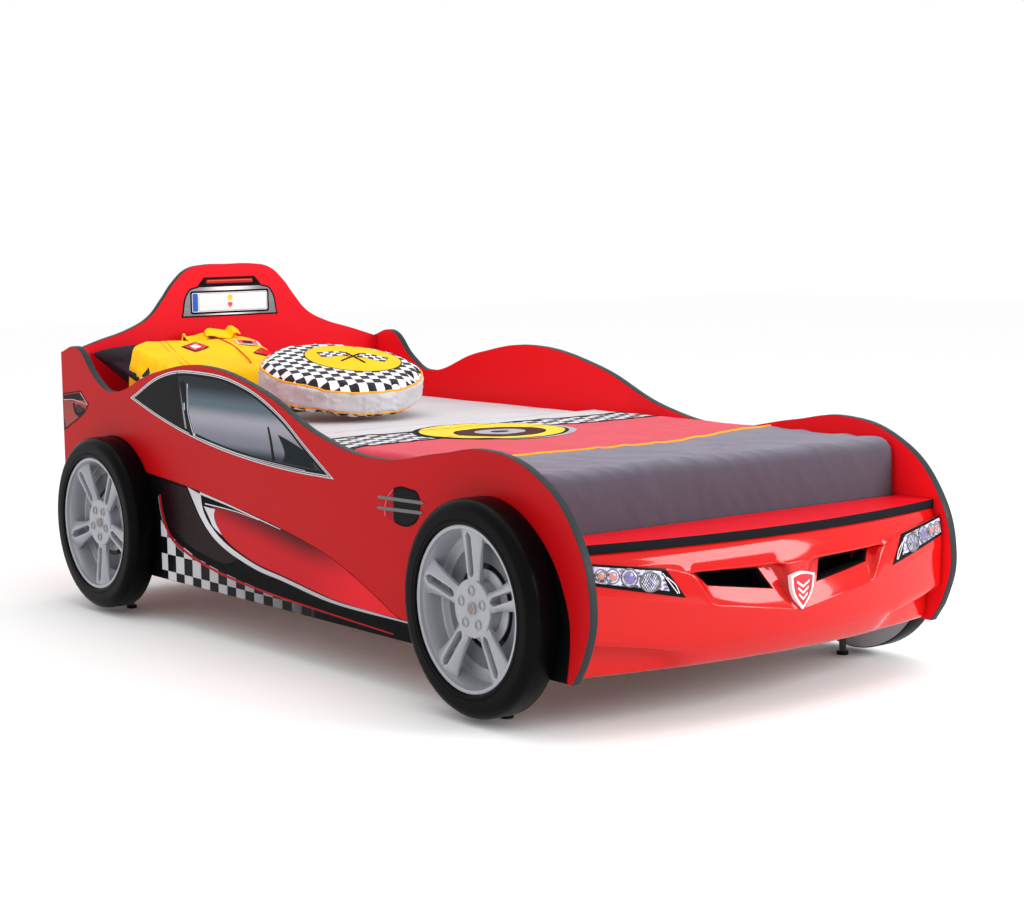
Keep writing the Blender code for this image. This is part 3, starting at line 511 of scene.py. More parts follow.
class Shape:
    """Collects a piece's faces, each with the place of its finish in the piece's list."""

    def __init__(self):
        self.points, self.faces, self.marks, self.flat = [], [], [], []

    def grid(self, rows, mark=0, loop=False, flat=None, mark_of=None):
        """Quads between rows of points; loop joins each row's end to its start."""
        start, width = len(self.points), len(rows[0])
        for j, row in enumerate(rows):
            self.points.extend(tuple(point) for point in row)
            self.flat.extend(flat[j] if flat else [(0.0, 0.0)] * width)
        for j in range(len(rows) - 1):
            for i in range(width if loop else width - 1):
                k = (i + 1) % width
                low, high = start + j * width, start + (j + 1) * width
                self.faces.append((low + i, low + k, high + k, high + i))
                self.marks.append(mark_of(i, j) if mark_of else mark)

    def fan(self, points, mark=0):
        """One flat face through all the points."""
        start = len(self.points)
        self.points.extend(tuple(point) for point in points)
        self.flat.extend([(0.0, 0.0)] * len(points))
        self.faces.append(tuple(range(start, start + len(points))))
        self.marks.append(mark)

    def skin(self, rows, drop, mark=0, loop=False, mark_of=None):
        """A closed thin patch: the rows, the same rows moved by drop, and the walls between."""
        under = [[point + drop for point in row] for row in rows]
        self.grid(rows, mark, loop, mark_of=mark_of)
        self.grid(under[::-1], mark, loop)
        edges = []
        for sheet in (rows, under):
            edges.append(sheet[-1] if loop else sheet[0] + [row[-1] for row in sheet[1:]]
                         + sheet[-1][-2::-1] + [row[0] for row in sheet[-2:0:-1]])
        self.grid(edges, mark, True)

    def tube(self, rows, mark=0):
        """A round skin through the rows, closed at both ends."""
        self.grid(rows, mark, True)
        self.fan(rows[0], mark)
        self.fan(rows[-1], mark)

    def rope(self, path, radius, mark=0, closed=True, sides=10):
        """A round cord along a path, with its ends capped if it is open."""
        rows = cord(path, radius, closed, sides)
        if closed:
            self.grid(rows, mark, True)
        else:
            self.tube(rows, mark)

    def plate(self, outline, low, high, place, mark=0):
        """A closed plate over a flat outline, between two depths."""
        self.grid([[place(a, b, depth) for a, b in outline] for depth in (low, high)], mark, True)
        self.fan([place(a, b, low) for a, b in outline], mark)
        self.fan([place(a, b, high) for a, b in outline], mark)

    def turned(self, profile, place, steps=96, mark=0):
        """A closed ring of (axial, radius) points turned about an axle."""
        rows = [[place(a, r * math.cos(angle), r * math.sin(angle)) for a, r in profile]
                for angle in around(steps)]
        self.grid(rows + rows[:1], mark, True)

    def piece(self, name, finishes, merge=0.00002, sharp=math.radians(38), outward=True):
        """The shape as a linked object."""
        mesh = bpy.data.meshes.new(name)
        for each in finishes:
            mesh.materials.append(finish(each))
        mesh.from_pydata(self.points, [], self.faces)
        mesh.polygons.foreach_set("material_index", self.marks)
        layer = mesh.uv_layers.new(name="flat")
        corners = [self.flat[loop.vertex_index] for loop in mesh.loops]
        layer.data.foreach_set("uv", [number for corner in corners for number in corner])
        work = bmesh.new()
        work.from_mesh(mesh)
        if merge:
            bmesh.ops.remove_doubles(work, verts=work.verts, dist=merge)
        bmesh.ops.dissolve_degenerate(work, edges=work.edges, dist=0.000001)
        if outward:
            bmesh.ops.recalc_face_normals(work, faces=work.faces)
        work.to_mesh(mesh)
        work.free()
        made = bpy.data.objects.new(name, mesh)
        bpy.context.scene.collection.objects.link(made)
        mesh.shade_smooth()
        if sharp:
            mesh.set_sharp_from_angle(angle=sharp)
        return made


def settle(piece, slot, *nodes, body="bed"):
    """Tie a finished piece to its body and hide the CAD nodes that it stands for; the slot is not
    used.
    """
    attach(piece, body)
    if nodes:
        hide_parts(*nodes)
    return piece


def applied(piece):
    """Bake a piece's modifiers into its mesh."""
    graph = bpy.context.evaluated_depsgraph_get()
    mesh = bpy.data.meshes.new_from_object(piece.evaluated_get(graph))
    old, piece.data = piece.data, mesh
    piece.modifiers.clear()
    bpy.data.meshes.remove(old)
    return piece


def subdivided(piece, levels=1):
    step = piece.modifiers.new("smooth", "SUBSURF")
    step.levels = step.render_levels = levels
    return applied(piece)


def walled(piece, thickness, offset=-1.0):
    step = piece.modifiers.new("wall", "SOLIDIFY")
    step.thickness = thickness
    step.offset = offset
    return applied(piece)


def faced(piece, way):
    """Flip a sheet whose faces look away from a direction."""
    if sum(face.normal.dot(way) * face.area for face in piece.data.polygons) < 0:
        piece.data.flip_normals()


def coated(node, coat):
    """A CAD node that stays in sight, in its own finish."""
    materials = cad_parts[node].data.materials
    materials.clear()
    materials.append(finish(coat))


def surface_of(piece):
    """A tree that finds a ray's hit on a piece."""
    return BVHTree.FromPolygons([vertex.co.copy() for vertex in piece.data.vertices],
                                [list(face.vertices) for face in piece.data.polygons])


def rounded(points, steps=8):
    """A closed outline through (a, b) points, smooth but at the corners, (a, b, "v")."""
    count, made = len(points), []
    for i in range(count):
        before, start, end, after = (Vector(points[(i + k) % count][:2]) for k in (-1, 0, 1, 2))
        chord = end - start
        leave = chord if len(points[i]) == 3 else (end - before).normalized() * chord.length
        arrive = chord if len(points[(i + 1) % count]) == 3 else \
            (after - start).normalized() * chord.length
        for k in range(steps):
            t = k / steps
            made.append(tuple(start * (2 * t**3 - 3 * t**2 + 1) + leave * (t**3 - 2 * t**2 + t)
                              + end * (3 * t**2 - 2 * t**3) + arrive * (t**3 - t**2)))
    return made


def smooth_line(points, steps=8):
    """An open smooth line through points of any width."""
    line = []
    for i in range(len(points) - 1):
        before, start = Vector(points[max(i - 1, 0)]), Vector(points[i])
        end, after = Vector(points[i + 1]), Vector(points[min(i + 2, len(points) - 1)])
        for k in range(steps):
            t = k / steps
            line.append(tuple(0.5 * (2 * start + (end - before) * t
                                     + (2 * before - 5 * start + 4 * end - after) * t**2
                                     + (3 * start - before - 3 * end + after) * t**3)))
    return line + [tuple(points[-1])]


def inset(loop, distance):
    """A closed outline moved inwards by a distance."""
    count = len(loop)
    turn = sum(loop[i][0] * loop[(i + 1) % count][1] - loop[(i + 1) % count][0] * loop[i][1]
               for i in range(count))
    inward = 1 if turn > 0 else -1
    made = []
    for i in range(count):
        here = Vector(loop[i])
        one = (here - Vector(loop[i - 1])).normalized()
        two = (Vector(loop[(i + 1) % count]) - here).normalized()
        normals = [Vector((-edge.y, edge.x)) * inward for edge in (one, two)]
        middle = (normals[0] + normals[1]).normalized()
        spot = here + middle * distance / max(middle.dot(normals[0]), 0.22)
        if distance < 0 or nearest_on(loop, spot) > distance * 0.96:
            made.append(tuple(spot))
    return made


def nearest_on(loop, spot):
    """Distance from a point to a closed outline."""
    least = 1.0
    for start, end in zip(loop, loop[1:] + loop[:1]):
        edge = Vector(end) - Vector(start)
        share = (spot - Vector(start)).dot(edge) / max(edge.length_squared, 1e-12)
        foot = Vector(start) + edge * min(max(share, 0.0), 1.0)
        least = min(least, (spot - foot).length)
    return least


def clipped(loop, point, keep):
    """The part of an outline on the side of a line that keep points to."""
    made = []
    for i in range(len(loop)):
        here, after = Vector(loop[i]), Vector(loop[(i + 1) % len(loop)])
        first, second = ((spot - Vector(point)).dot(Vector(keep)) for spot in (here, after))
        if first >= 0:
            made.append(tuple(here))
        if first * second < 0:
            made.append(tuple(here + (after - here) * first / (first - second)))
    return made


def ribbon(points, start, end):
    """A closed outline around an open line, its width running from one value to another."""
    line, left, right = smooth_line(points), [], []
    for i, point in enumerate(line):
        after, before = Vector(line[min(i + 1, len(line) - 1)]), Vector(line[max(i - 1, 0)])
        along = (after - before).normalized()
        half = (start + (end - start) * i / (len(line) - 1)) / 2
        side = Vector((-along.y, along.x)) * half
        left.append(tuple(Vector(point) + side))
        right.append(tuple(Vector(point) - side))
    return left + right[::-1]


def cord(path, radius, closed=True, sides=10):
    """Rows of a round cord along a path of 3D points."""
    rows, count = [], len(path)
    up = Vector((0.03, 0.02, 1.0))
    for i in range(count):
        after = Vector(path[(i + 1) % count if closed else min(i + 1, count - 1)])
        before = Vector(path[i - 1 if closed else max(i - 1, 0)])
        along = (after - before).normalized()
        side = along.cross(up).normalized()
        top = side.cross(along)
        rows.append([Vector(path[i]) + side * radius * math.cos(a) + top * radius * math.sin(a)
                     for a in around(sides)])
    return rows + rows[:1] if closed else rows


def ahead(station):
    """Y of a place that many metres ahead of the boards' rear end."""
    return REAR_Y - station


def sideways(side):
    """Places a side drawing: metres ahead of the rear end, height, depth outside the board."""
    return lambda station, z, depth: (side * (PANEL_FACE + depth), ahead(station), z)


def facing(a, b, depth):
    """Places a front drawing: x, height, depth in front of the headboard's face."""
    return (a, HEADBOARD_Y - depth, b)


# ---- boards -------------------------------------------------------------------------------------
def board_outline(node, axis):
    """The outline of a flat board, read from its solid: points on the other two axes, in order."""
    work = bmesh.new()
    work.from_mesh(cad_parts[node].data)
    bmesh.ops.remove_doubles(work, verts=work.verts, dist=0.00002)
    work.normal_update()
    top = max(vertex.co[axis] for vertex in work.verts)
    caps = {face for face in work.faces
            if abs(face.normal[axis]) > 0.9 and face.calc_center_median()[axis] > top - 0.0001}
    after = {}
    for face in caps:
        for loop in face.loops:
            if len(set(loop.edge.link_faces) & caps) == 1:
                after[loop.vert] = loop.link_loop_next.vert
    first = next(iter(after))
    chain, here = [first], after[first]
    while here != first:
        chain.append(here)
        here = after[here]
    others = [k for k in range(3) if k != axis]
    outline = [(vertex.co[others[0]], vertex.co[others[1]]) for vertex in chain]
    work.free()
    return outline


def refined(loop, steps=3, corner=math.radians(24)):
    """A finer outline: straight into its corners, smooth through its curves."""
    marked = []
    count = len(loop)
    for i in range(count):
        one = Vector(loop[i]) - Vector(loop[i - 1])
        two = Vector(loop[(i + 1) % count]) - Vector(loop[i])
        sharp = one.angle(two) > corner or min(one.length, two.length) * 5 < max(one.length,
                                                                                 two.length)
        marked.append((*loop[i], "v") if sharp else tuple(loop[i]))
    return rounded(marked, steps)


def make_board(name, node, axis, finishes, slot, ease):
    """A board with eased arrises: its faces in one finish, its edge band in another."""
    low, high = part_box(node)
    outline = refined(board_outline(node, axis))
    others = [k for k in range(3) if k != axis]

    def place(a, b, depth):
        spot = [0.0, 0.0, 0.0]
        spot[axis], spot[others[0]], spot[others[1]] = depth, a, b
        return tuple(spot)

    shape = Shape()
    shape.plate(outline, low[axis], high[axis], place, 1)
    made = shape.piece(name, finishes, sharp=0)
    work = bmesh.new()
    work.from_mesh(made.data)
    caps = [face for face in work.faces if abs(face.normal[axis]) > 0.9]
    rims = list({edge for face in caps for edge in face.edges})
    bmesh.ops.bevel(work, geom=rims, offset=ease, segments=2, profile=0.5, affect="EDGES",
                    material=1)
    # inner caps take the third finish, a brighter copy of the board red that stands for painted
    # light
    for face in work.faces:
        cap = abs(face.normal[axis]) > 0.999
        inner = face.calc_center_median()[axis] * face.normal[axis] < 0 and axis < 2
        face.material_index = (2 if inner and len(finishes) > 2 else 0) if cap else 1
    for edge in work.edges:
        marks = {abs(face.normal[axis]) > 0.999 for face in edge.link_faces}
        edge.smooth = len(marks) == 1 and edge.calc_face_angle(0) < math.radians(50)
    work.to_mesh(made.data)
    work.free()
    return settle(made, slot, node)


def make_boards():
    ease = sizes().board_ease
    # the side boards' inner faces take a brighter copy of the red as painted light
    for _, word in SIDES:
        make_board("side_board_" + word, "side_panel_" + word, 0,
                   ("body_board", "edge_band", "board_inside"), "red_board", ease)
    # the headboard's inner face and the shelf's caps take the brighter shelf red as painted light
    make_board("head_board", "headboard", 1, ("body_board", "edge_band", "shelf_board"),
               "red_board", ease)
    make_board("nose_shelf", "hood_shelf", 2, ("shelf_board", "shelf_band"), "red_board", ease)
    coated("footboard", "body_board")


# ---- printed films ------------------------------------------------------------------------------
FOIL = 0.0004
PRINT = 0.00003


def film_stack(name, node, outline, layers, finishes, slot, place, inks=PRINT):
    """A foil with its printed layers laid on it one over the other."""
    shape = Shape()
    shape.plate(outline, GAP, GAP + FOIL, place, 0)
    for level, (drawn, mark) in enumerate(layers):
        start = GAP + FOIL + inks * level
        shape.plate(drawn, start, start + inks * 0.9, place, mark)
    return settle(shape.piece(name, finishes, merge=0, sharp=math.radians(30)), slot, node)


def stations(node):
    """A side film's outline as metres ahead of the rear end and heights."""
    return [(REAR_Y - y, z) for y, z in refined(board_outline(node, 0))]


def make_windows():
    finishes = ("chrome_film", "black_print", "window_glass", "wheel_grey", "mirror_print")
    for side, word in SIDES:
        whole = stations("side_window_" + word)
        inner = inset(whole, 0.0125)
        glass = clipped(inner, (0.628, 0.52), (1.0, 0.22))
        quarter = clipped(inner, (0.6205, 0.52), (-1.0, -0.22))
        pillar = ((0.622, 0.576, "v"), (0.640, 0.582, "v"), (0.652, 0.560), (0.652, 0.515),
                  (0.676, 0.454, "v"), (0.650, 0.464, "v"), (0.634, 0.520))
        strap = ribbon(((0.657, 0.574), (0.656, 0.540), (0.661, 0.500), (0.684, 0.456)), 0.0050,
                       0.0100)
        shade = ribbon(((0.658, 0.566), (0.657, 0.540), (0.662, 0.500), (0.682, 0.462)), 0.0018,
                       0.0040)
        mirror = ((1.052, 0.486, "v"), (1.090, 0.478), (1.150, 0.462), (1.190, 0.446, "v"),
                  (1.196, 0.424, "v"), (1.070, 0.428, "v"), (1.078, 0.450))
        handle = capsule(0.6365, 0.6420, 0.512, 0.530, 0.0024)
        layers = [
            (inset(whole, 0.0026), 1), (inset(whole, 0.0042), 0), (inset(whole, 0.0062), 1),
            (quarter, 1), (glass, 2), (rounded(pillar), 1), (strap, 3), (shade, 4), (handle, 3),
            (ribbon(((0.612, 0.600), (0.600, 0.560), (0.606, 0.490)), 0.003, 0.003), 1),
            (ribbon(((1.012, 0.500), (1.022, 0.470), (1.032, 0.428)), 0.007, 0.012), 1),
            (rounded(mirror), 4),
            (ribbon(((0.70, 0.4535), (0.90, 0.4300), (1.16, 0.4175)), 0.0018, 0.0012), 3),
        ]
        film_stack("window_film_" + word, "side_window_" + word, whole, layers, finishes,
                   "window_film", sideways(side))


def make_skirts():
    """Sill and arch films: squares, sweeps and the painted scoop behind the front wheel."""
    finishes = ("arch_black", "chrome_film", "scoop_red", "brown_print", "red_print",
                "sill_squares")
    bottom = PANEL_BOTTOM + 0.0012
    squares = rounded(((0.506, bottom, "v"), (0.506, 0.2455, "v"), (0.540, 0.218, "v"),
                       (0.600, 0.196), (0.700, 0.170), (0.840, 0.150), (1.000, 0.136),
                       (1.180, 0.124, "v"), (1.180, bottom, "v")), 6)
    recess = rounded(((0.520, 0.337, "v"), (0.636, 0.332, "v"), (0.700, 0.264), (0.752, 0.232),
                      (0.860, 0.196), (0.700, 0.188), (0.580, 0.222), (0.536, 0.262)), 6)
    band = rounded(((0.642, 0.3350, "v"), (0.703, 0.3240, "v"), (0.712, 0.290), (0.738, 0.262),
                    (0.790, 0.232), (0.852, 0.2110), (0.952, 0.1890), (1.052, 0.1780),
                    (1.252, 0.1545), (1.400, 0.1500), (1.532, 0.1475, "v"), (1.532, 0.1445, "v"),
                    (1.252, 0.1475), (1.052, 0.1690), (0.952, 0.1785), (0.852, 0.1980),
                    (0.796, 0.2140), (0.744, 0.2370), (0.700, 0.2700), (0.668, 0.3050)), 6)
    scoop_end = 1.502
    under_scoop = smooth_line(((0.752, 0.3000), (0.765, 0.2760), (0.792, 0.2430), (0.852, 0.2170),
                               (0.952, 0.1930), (1.052, 0.1815), (1.250, 0.1570),
                               (1.400, 0.1510), (scoop_end, 0.1495)), 6)
    glint = rounded(((0.716, 0.2980, "v"), (0.768, 0.2960, "v"), (0.762, 0.2820), (0.770, 0.2640),
                     (0.796, 0.2400, "v"), (0.756, 0.2560), (0.738, 0.2760)), 6)
    sweep = ribbon(((0.505, 0.305), (0.514, 0.268), (0.532, 0.234), (0.560, 0.206),
                    (0.620, 0.1835), (0.700, 0.1650), (0.800, 0.1500), (0.950, 0.1370),
                    (1.150, 0.1270), (1.480, 0.1150)), 0.0115, 0.0032)
    edge = ribbon(((0.498, 0.300), (0.507, 0.264), (0.526, 0.229), (0.556, 0.200),
                   (0.620, 0.1765)), 0.0016, 0.0012)
    top_line = ribbon(((0.700, 0.3265), (0.852, 0.3085), (1.052, 0.2810)), 0.0060, 0.0014)
    inner = ribbon(((0.722, 0.3045), (0.852, 0.3010), (0.960, 0.2920)), 0.0030, 0.0012)
    for side, word in SIDES:
        whole = stations("skirt_film_" + word)
        brow = [(s, z - 0.0004) for s, z in whole
                if 0.90 < s < scoop_end and z > 0.157 + (scoop_end - s) * 0.06]
        scoop = under_scoop + sorted(brow, reverse=True)
        layers = [(squares, 5), (recess, 3), (scoop, 2), (band, 1), (top_line, 1), (inner, 1),
                  (glint, 1), (sweep, 4), (edge, 1)]
        film_stack("sill_film_" + word, "skirt_film_" + word, whole, layers, finishes,
                   "black_film", sideways(side), 0.000022)


def make_vents():
    finishes = ("arch_black", "red_print", "pink_print", "black_print")
    for side, word in SIDES:
        whole = stations("side_vent_" + word)
        place = sideways(side)
        lip = clipped(whole, (1.492, 0.38), (-1.0, 0.0))
        glow = ribbon(((1.460, 0.352), (1.459, 0.370), (1.470, 0.392), (1.490, 0.408)), 0.0045,
                      0.0020)
        deep = inset(clipped(whole, (1.486, 0.38), (1.0, 0.0)), 0.004)
        film_stack("vent_film_" + word, "side_vent_" + word, whole,
                   [(lip, 1), (glow, 2), (deep, 3)], finishes, "black_film", place)
        bars = Shape()
        for (start, low), (end, high) in (((1.434, 0.3885), (1.600, 0.3915)),
                                          ((1.431, 0.3665), (1.595, 0.3715))):
            rows = []
            for k in range(25):
                t = k / 24
                swell = min(1.0, (t * (1 - t) * 16) ** 0.5)
                centre = (start + (end - start) * t, low + (high - low) * t)
                rows.append([place(centre[0], centre[1] + 0.0036 * swell * math.cos(a),
                                   GAP + FOIL + 0.0009 + 0.0011 * swell * math.sin(a))
                             for a in around(12)])
            bars.tube(rows)
        settle(bars.piece("vent_bars_" + word, ("steel",)), "black_film")


def make_tail_lights():
    finishes = ("black_print", "tail_glass", "chrome_film", "brown_print")
    for side, word in SIDES:
        whole = stations("tail_light_" + word)
        glass = inset(whole, 0.0035)
        top = rounded(((0.008, 0.510, "v"), (0.098, 0.522, "v"), (0.128, 0.504, "v"),
                       (0.060, 0.500), (0.008, 0.498, "v")), 4)
        bulge = rounded(((0.012, 0.440), (0.024, 0.486), (0.052, 0.494), (0.058, 0.470),
                         (0.046, 0.446), (0.030, 0.436)), 6)
        layers = [(glass, 1), (top, 3), (bulge, 1),
                  (ribbon(((0.006, 0.499), (0.070, 0.502), (0.138, 0.494)), 0.0016, 0.0010), 2),
                  (ribbon(((0.102, 0.522), (0.142, 0.494)), 0.0022, 0.0014), 2),
                  (ribbon(((0.064, 0.494), (0.074, 0.470), (0.104, 0.470), (0.124, 0.484)),
                          0.0120, 0.0050), 3)]
        film_stack("tail_film_" + word, "tail_light_" + word, whole, layers, finishes, "lamp_film",
                   sideways(side))


def capsule(low_x, high_x, low_z, high_z, round_by):
    """A rectangle with rounded corners as an outline."""
    made = []
    for cx, cz, start in ((high_x, high_z, 0), (low_x, high_z, 1), (low_x, low_z, 2),
                          (high_x, low_z, 3)):
        middle = (cx - math.copysign(round_by, cx - (low_x + high_x) / 2),
                  cz - math.copysign(round_by, cz - (low_z + high_z) / 2))
        for k in range(7):
            angle = math.pi / 2 * (start + k / 6)
            made.append((middle[0] + round_by * math.cos(angle),
                         middle[1] + round_by * math.sin(angle)))
    return made


def make_plate():
    """Number plate in its frame, with the lamp over it; the plate carries no lettering."""
    outline = refined(board_outline("plate_surround", 1))
    plate_low, plate_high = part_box("number_plate")
    lamp_low, lamp_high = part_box("brake_light")
    finishes = ("black_print", "brushed_frame", "white_print", "blue_print", "lamp_red",
                "print_yellow", "pink_print", "gloss_black")
    frame_face = clipped(inset(outline, 0.004), (0.0, 0.7685), (0.0, -1.0))
    hood = clipped(inset(outline, 0.0025), (0.0, 0.7720), (0.0, 1.0))
    left, right, low, high = plate_low.x, plate_high.x, plate_low.z, plate_high.z
    dot = [(0.0078 * math.cos(a), 0.740 + 0.0078 * math.sin(a))
           for a in around(28)]
    drop = rounded(((-0.0075, 0.7240), (0.0, 0.7275), (0.0075, 0.7240), (0.0, 0.7120, "v")), 6)
    layers = [(frame_face, 1), (hood, 7), (capsule(left - 0.005, right + 0.005, low - 0.005,
                                                   high + 0.005, 0.006), 0),
              (capsule(left, right, low, high, 0.004), 2),
              (capsule(left + 0.0014, left + 0.0175, low + 0.0014, high - 0.0014, 0.003), 3),
              (capsule(left + 0.020, right - 0.002, low + 0.002, high - 0.002, 0.003), 0),
              (capsule(left + 0.0208, right - 0.0028, low + 0.0028, high - 0.0028, 0.0025), 2),
              (dot, 5), (drop, 6),
              (capsule(lamp_low.x, lamp_high.x, lamp_low.z, lamp_high.z, 0.003), 4),
              (capsule(lamp_low.x + 0.004, lamp_high.x - 0.004, lamp_low.z + 0.0055,
                       lamp_high.z - 0.0020, 0.001), 6)]
    made = film_stack("plate_film", "plate_surround", outline, layers, finishes, "white_film",
                      facing, 0.00008)
    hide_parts("number_plate", "brake_light")


# ---- nose: bumper, lamps, badge, intakes --------------------------------------------------------
# half the bumper's columns: x at the brow over the intakes, x at the crease under them
COLUMNS = ((0.000, 0.0000), (0.022, 0.0020), (0.0425, 0.0040), (0.0475, 0.0065), (0.0580, 0.0150),
           (0.0700, 0.0270), (0.100, 0.0560), (0.135, 0.092), (0.170, 0.128), (0.205, 0.160),
           (0.230, 0.184), (0.2440, 0.1955), (0.2530, 0.2020), (0.2580, 0.2055), (0.2700, 0.2220),
           (0.295, 0.262), (0.325, 0.305), (0.360, 0.348), (0.395, 0.388), (0.430, 0.427),
           (0.4604, 0.4604))
RIDGE_COLUMNS = 2            # columns up to this one lie on the centre ridge
SCOOP_COLUMNS = (4, 11)      # columns between these lie in the scoop around an intake
NOTCH_COLUMN = 15            # the last column before the notch at the lower corner
NOTCH_X = 0.300              # inner end of the notch's ledge
NOTCH_SLANT = 1.1            # how far the notch's inner side leans in per metre of height
LEDGE_Z = 0.1555             # height of the ledge over the notch
INTAKE = ((0.2285, 0.2897), (0.0800, 0.2847), (0.0560, 0.2427), (0.2075, 0.2637))
LAMP = ((0.2715, 0.2507), (0.309, 0.3067), (0.4565, 0.3272), (0.4565, 0.2885))


def shelf_line(x):
    """Y of the shelf's front edge at x."""
    return SHELF_LOW.y + (SHELF_SIDE_Y - SHELF_LOW.y) * (x / PANEL_INNER) ** 2


def brow_z(x):
    """Height of the brow over the intakes, which climbs over the lamps."""
    rise = max(abs(x) - 0.262, 0.0)
    return 0.2925 - 0.004 * min(abs(x) / 0.07, 1.0) + 0.004 * min(abs(x) / 0.23, 1.0) + \
        min(rise * 0.5, 0.010) + rise * 0.13


def crease_z(x):
    """Height of the crease under the intakes."""
    a = abs(x)
    return 0.1985 + 0.157 * a - 0.02 * a * a


def bumper_rows():
    """Rows of the bumper's cage from the shelf down: (height, metres ahead of the shelf)."""
    def plain(z, reach):
        return lambda top, base, i: (z, reach)

    def brow(drop, inside, ridge, outside):
        def at(top, base, i):
            if i <= RIDGE_COLUMNS:
                return brow_z(top) - drop, ridge
            if SCOOP_COLUMNS[0] <= i <= SCOOP_COLUMNS[1]:
                return brow_z(top) - drop, inside
            if i < SCOOP_COLUMNS[0]:
                return brow_z(top) - drop, inside + (ridge - inside) * 0.55
            share = 0.5 if i == SCOOP_COLUMNS[1] + 1 else 1.0
            return brow_z(top) - drop, inside + (outside - inside) * share
        return at

    def between(share, ridge, outside):
        def at(top, base, i):
            z = brow_z(top) - 0.004 + (crease_z(base) - brow_z(top) + 0.004) * share
            scoop = -0.007 + (0.0245 + 0.007) * share
            if i <= RIDGE_COLUMNS:
                return z, ridge
            if i < SCOOP_COLUMNS[0]:
                return z, scoop + (ridge - scoop) * 0.5
            if i <= SCOOP_COLUMNS[1]:
                return z, scoop
            return z, scoop + (outside - scoop) * (0.5 if i == SCOOP_COLUMNS[1] + 1 else 1.0)
        return at

    def lower(z, reach, notch=0.0, climb=0.0):
        edge = NOTCH_X - max(LEDGE_Z - z, 0.0) * NOTCH_SLANT

        def at(top, base, i):
            x = {NOTCH_COLUMN: edge - 0.006, NOTCH_COLUMN + 1: edge + 0.006}.get(i, base)
            inside = 1.0 if i > NOTCH_COLUMN else 0.0
            outer = min(max((x - NOTCH_X) / 0.15, 0.0), 1.0)
            return z + climb * outer, reach - notch * inside, x
        return at

    return [plain(0.3396, -0.0040), plain(0.3330, 0.0010), plain(0.3200, 0.0070),
            plain(0.3080, 0.0105), brow(-0.0015, 0.0125, 0.0165, 0.0165),
            brow(0.0005, 0.0122, 0.0190, 0.0180), brow(0.0030, -0.0060, 0.0205, 0.0190),
            brow(0.0050, -0.0075, 0.0208, 0.0195), between(0.30, 0.0215, 0.0225),
            between(0.60, 0.0225, 0.0250), between(0.92, 0.0238, 0.0262),
            lambda top, base, i: (crease_z(base), 0.0266),
            lambda top, base, i: (crease_z(base) - 0.006, 0.0258),
            lower(0.178, 0.0245, 0.0, 0.010), lower(0.166, 0.0215, 0.0, 0.018),
            lower(0.1575, 0.0186, 0.0, 0.022), lower(0.1555, 0.0178, 0.0015, 0.022),
            lower(0.1530, 0.0168, 0.0270, 0.022), lower(0.1500, 0.0155, 0.0280, 0.022),
            lower(0.135, 0.0070, 0.0210, 0.014), lower(0.122, -0.0030, 0.0130, 0.006),
            lower(0.1125, -0.0150, 0.0050), lower(0.1105, -0.0300)]


def make_bumper():
    """Moulded bumper: brow, centre ridge, scoops with open intakes, crease and corner notches."""
    cage = []
    rows = bumper_rows()
    for number, row in enumerate(rows):
        line = []
        for i, (top, base) in enumerate(COLUMNS):
            z, reach, *own = row(top, base, i)
            share = min(max((number - 5) / 6, 0.0), 1.0)
            x = own[0] if own else top + (base - top) * share
            line.append((x, shelf_line(x) - reach, z))
        cage.append([(-x, y, z) for x, y, z in line[:0:-1]] + line)
    shape = Shape()
    shape.grid(cage)
    made = shape.piece("bumper_moulding", ("bumper_red",), outward=False)
    faced(made, Vector((0.0, -1.0, 0.0)))
    made = subdivided(made, 2)
    made = walled(made, 0.0035)
    for side, word in SIDES:
        cutter = Shape()
        corners = [(side * x, z) for x, z in rounded([(x, z, "v") for x, z in INTAKE], 4)]
        cutter.plate(corners, SHELF_LOW.y - 0.2, SHELF_LOW.y + 0.1, lambda a, b, d: (a, d, b))
        tool = cutter.piece("intake_tool_" + word, ("gloss_black",))
        step = made.modifiers.new("intake", "BOOLEAN")
        step.object, step.solver = tool, "EXACT"
        made = applied(made)
        bpy.data.objects.remove(tool)
    made.data.shade_smooth()
    made.data.set_sharp_from_angle(angle=math.radians(42))
    return settle(made, "red_gloss", "front_bumper")


def on_bumper(tree, x, z, lift):
    """The point on the bumper's face at x and z, lifted off it."""
    hit, normal, *_ = tree.ray_cast(Vector((x, SHELF_LOW.y - 0.5, z)), Vector((0, 1, 0)))
    if hit is None:
        return Vector((x, shelf_line(x) - 0.02 - lift, z))
    return hit + normal * lift


def pressed(shape, tree, corners, lift, mark):
    """A patch with four (x, z) corners laid on the bumper."""
    tip, top, far_top, far_low = (Vector(corner) for corner in corners)
    across, down = 36, 14
    rows = []
    for j in range(down + 1):
        near, far = top.lerp(tip, j / down), far_top.lerp(far_low, j / down)
        rows.append([on_bumper(tree, *near.lerp(far, i / across), lift) for i in range(across + 1)])
    shape.skin(rows, Vector((0.0, 0.0009, 0.0)), mark)


def lens(shape, tree, x, z, radius, mark, side, high=0.0016, squash=1.0):
    """A domed round lens on the lamp, in a bright ring."""
    rings, steps, ring_mark = 7, 36, 5
    rows = []
    for j in range(rings + 1):
        share = j / rings
        lift = 0.0020 + high * (1 - share * share)
        rows.append([on_bumper(tree, side * (x + radius * share * math.cos(a)),
                               z + radius * squash * share * math.sin(a), lift)
                     for a in around(steps)])
    shape.skin(rows, Vector((0.0, 0.0012, 0.0)), mark, True)
    path = [on_bumper(tree, side * (x + radius * math.cos(a)),
                      z + radius * squash * math.sin(a), 0.0022) for a in around(steps)]
    shape.rope(path, radius * 0.09, ring_mark)


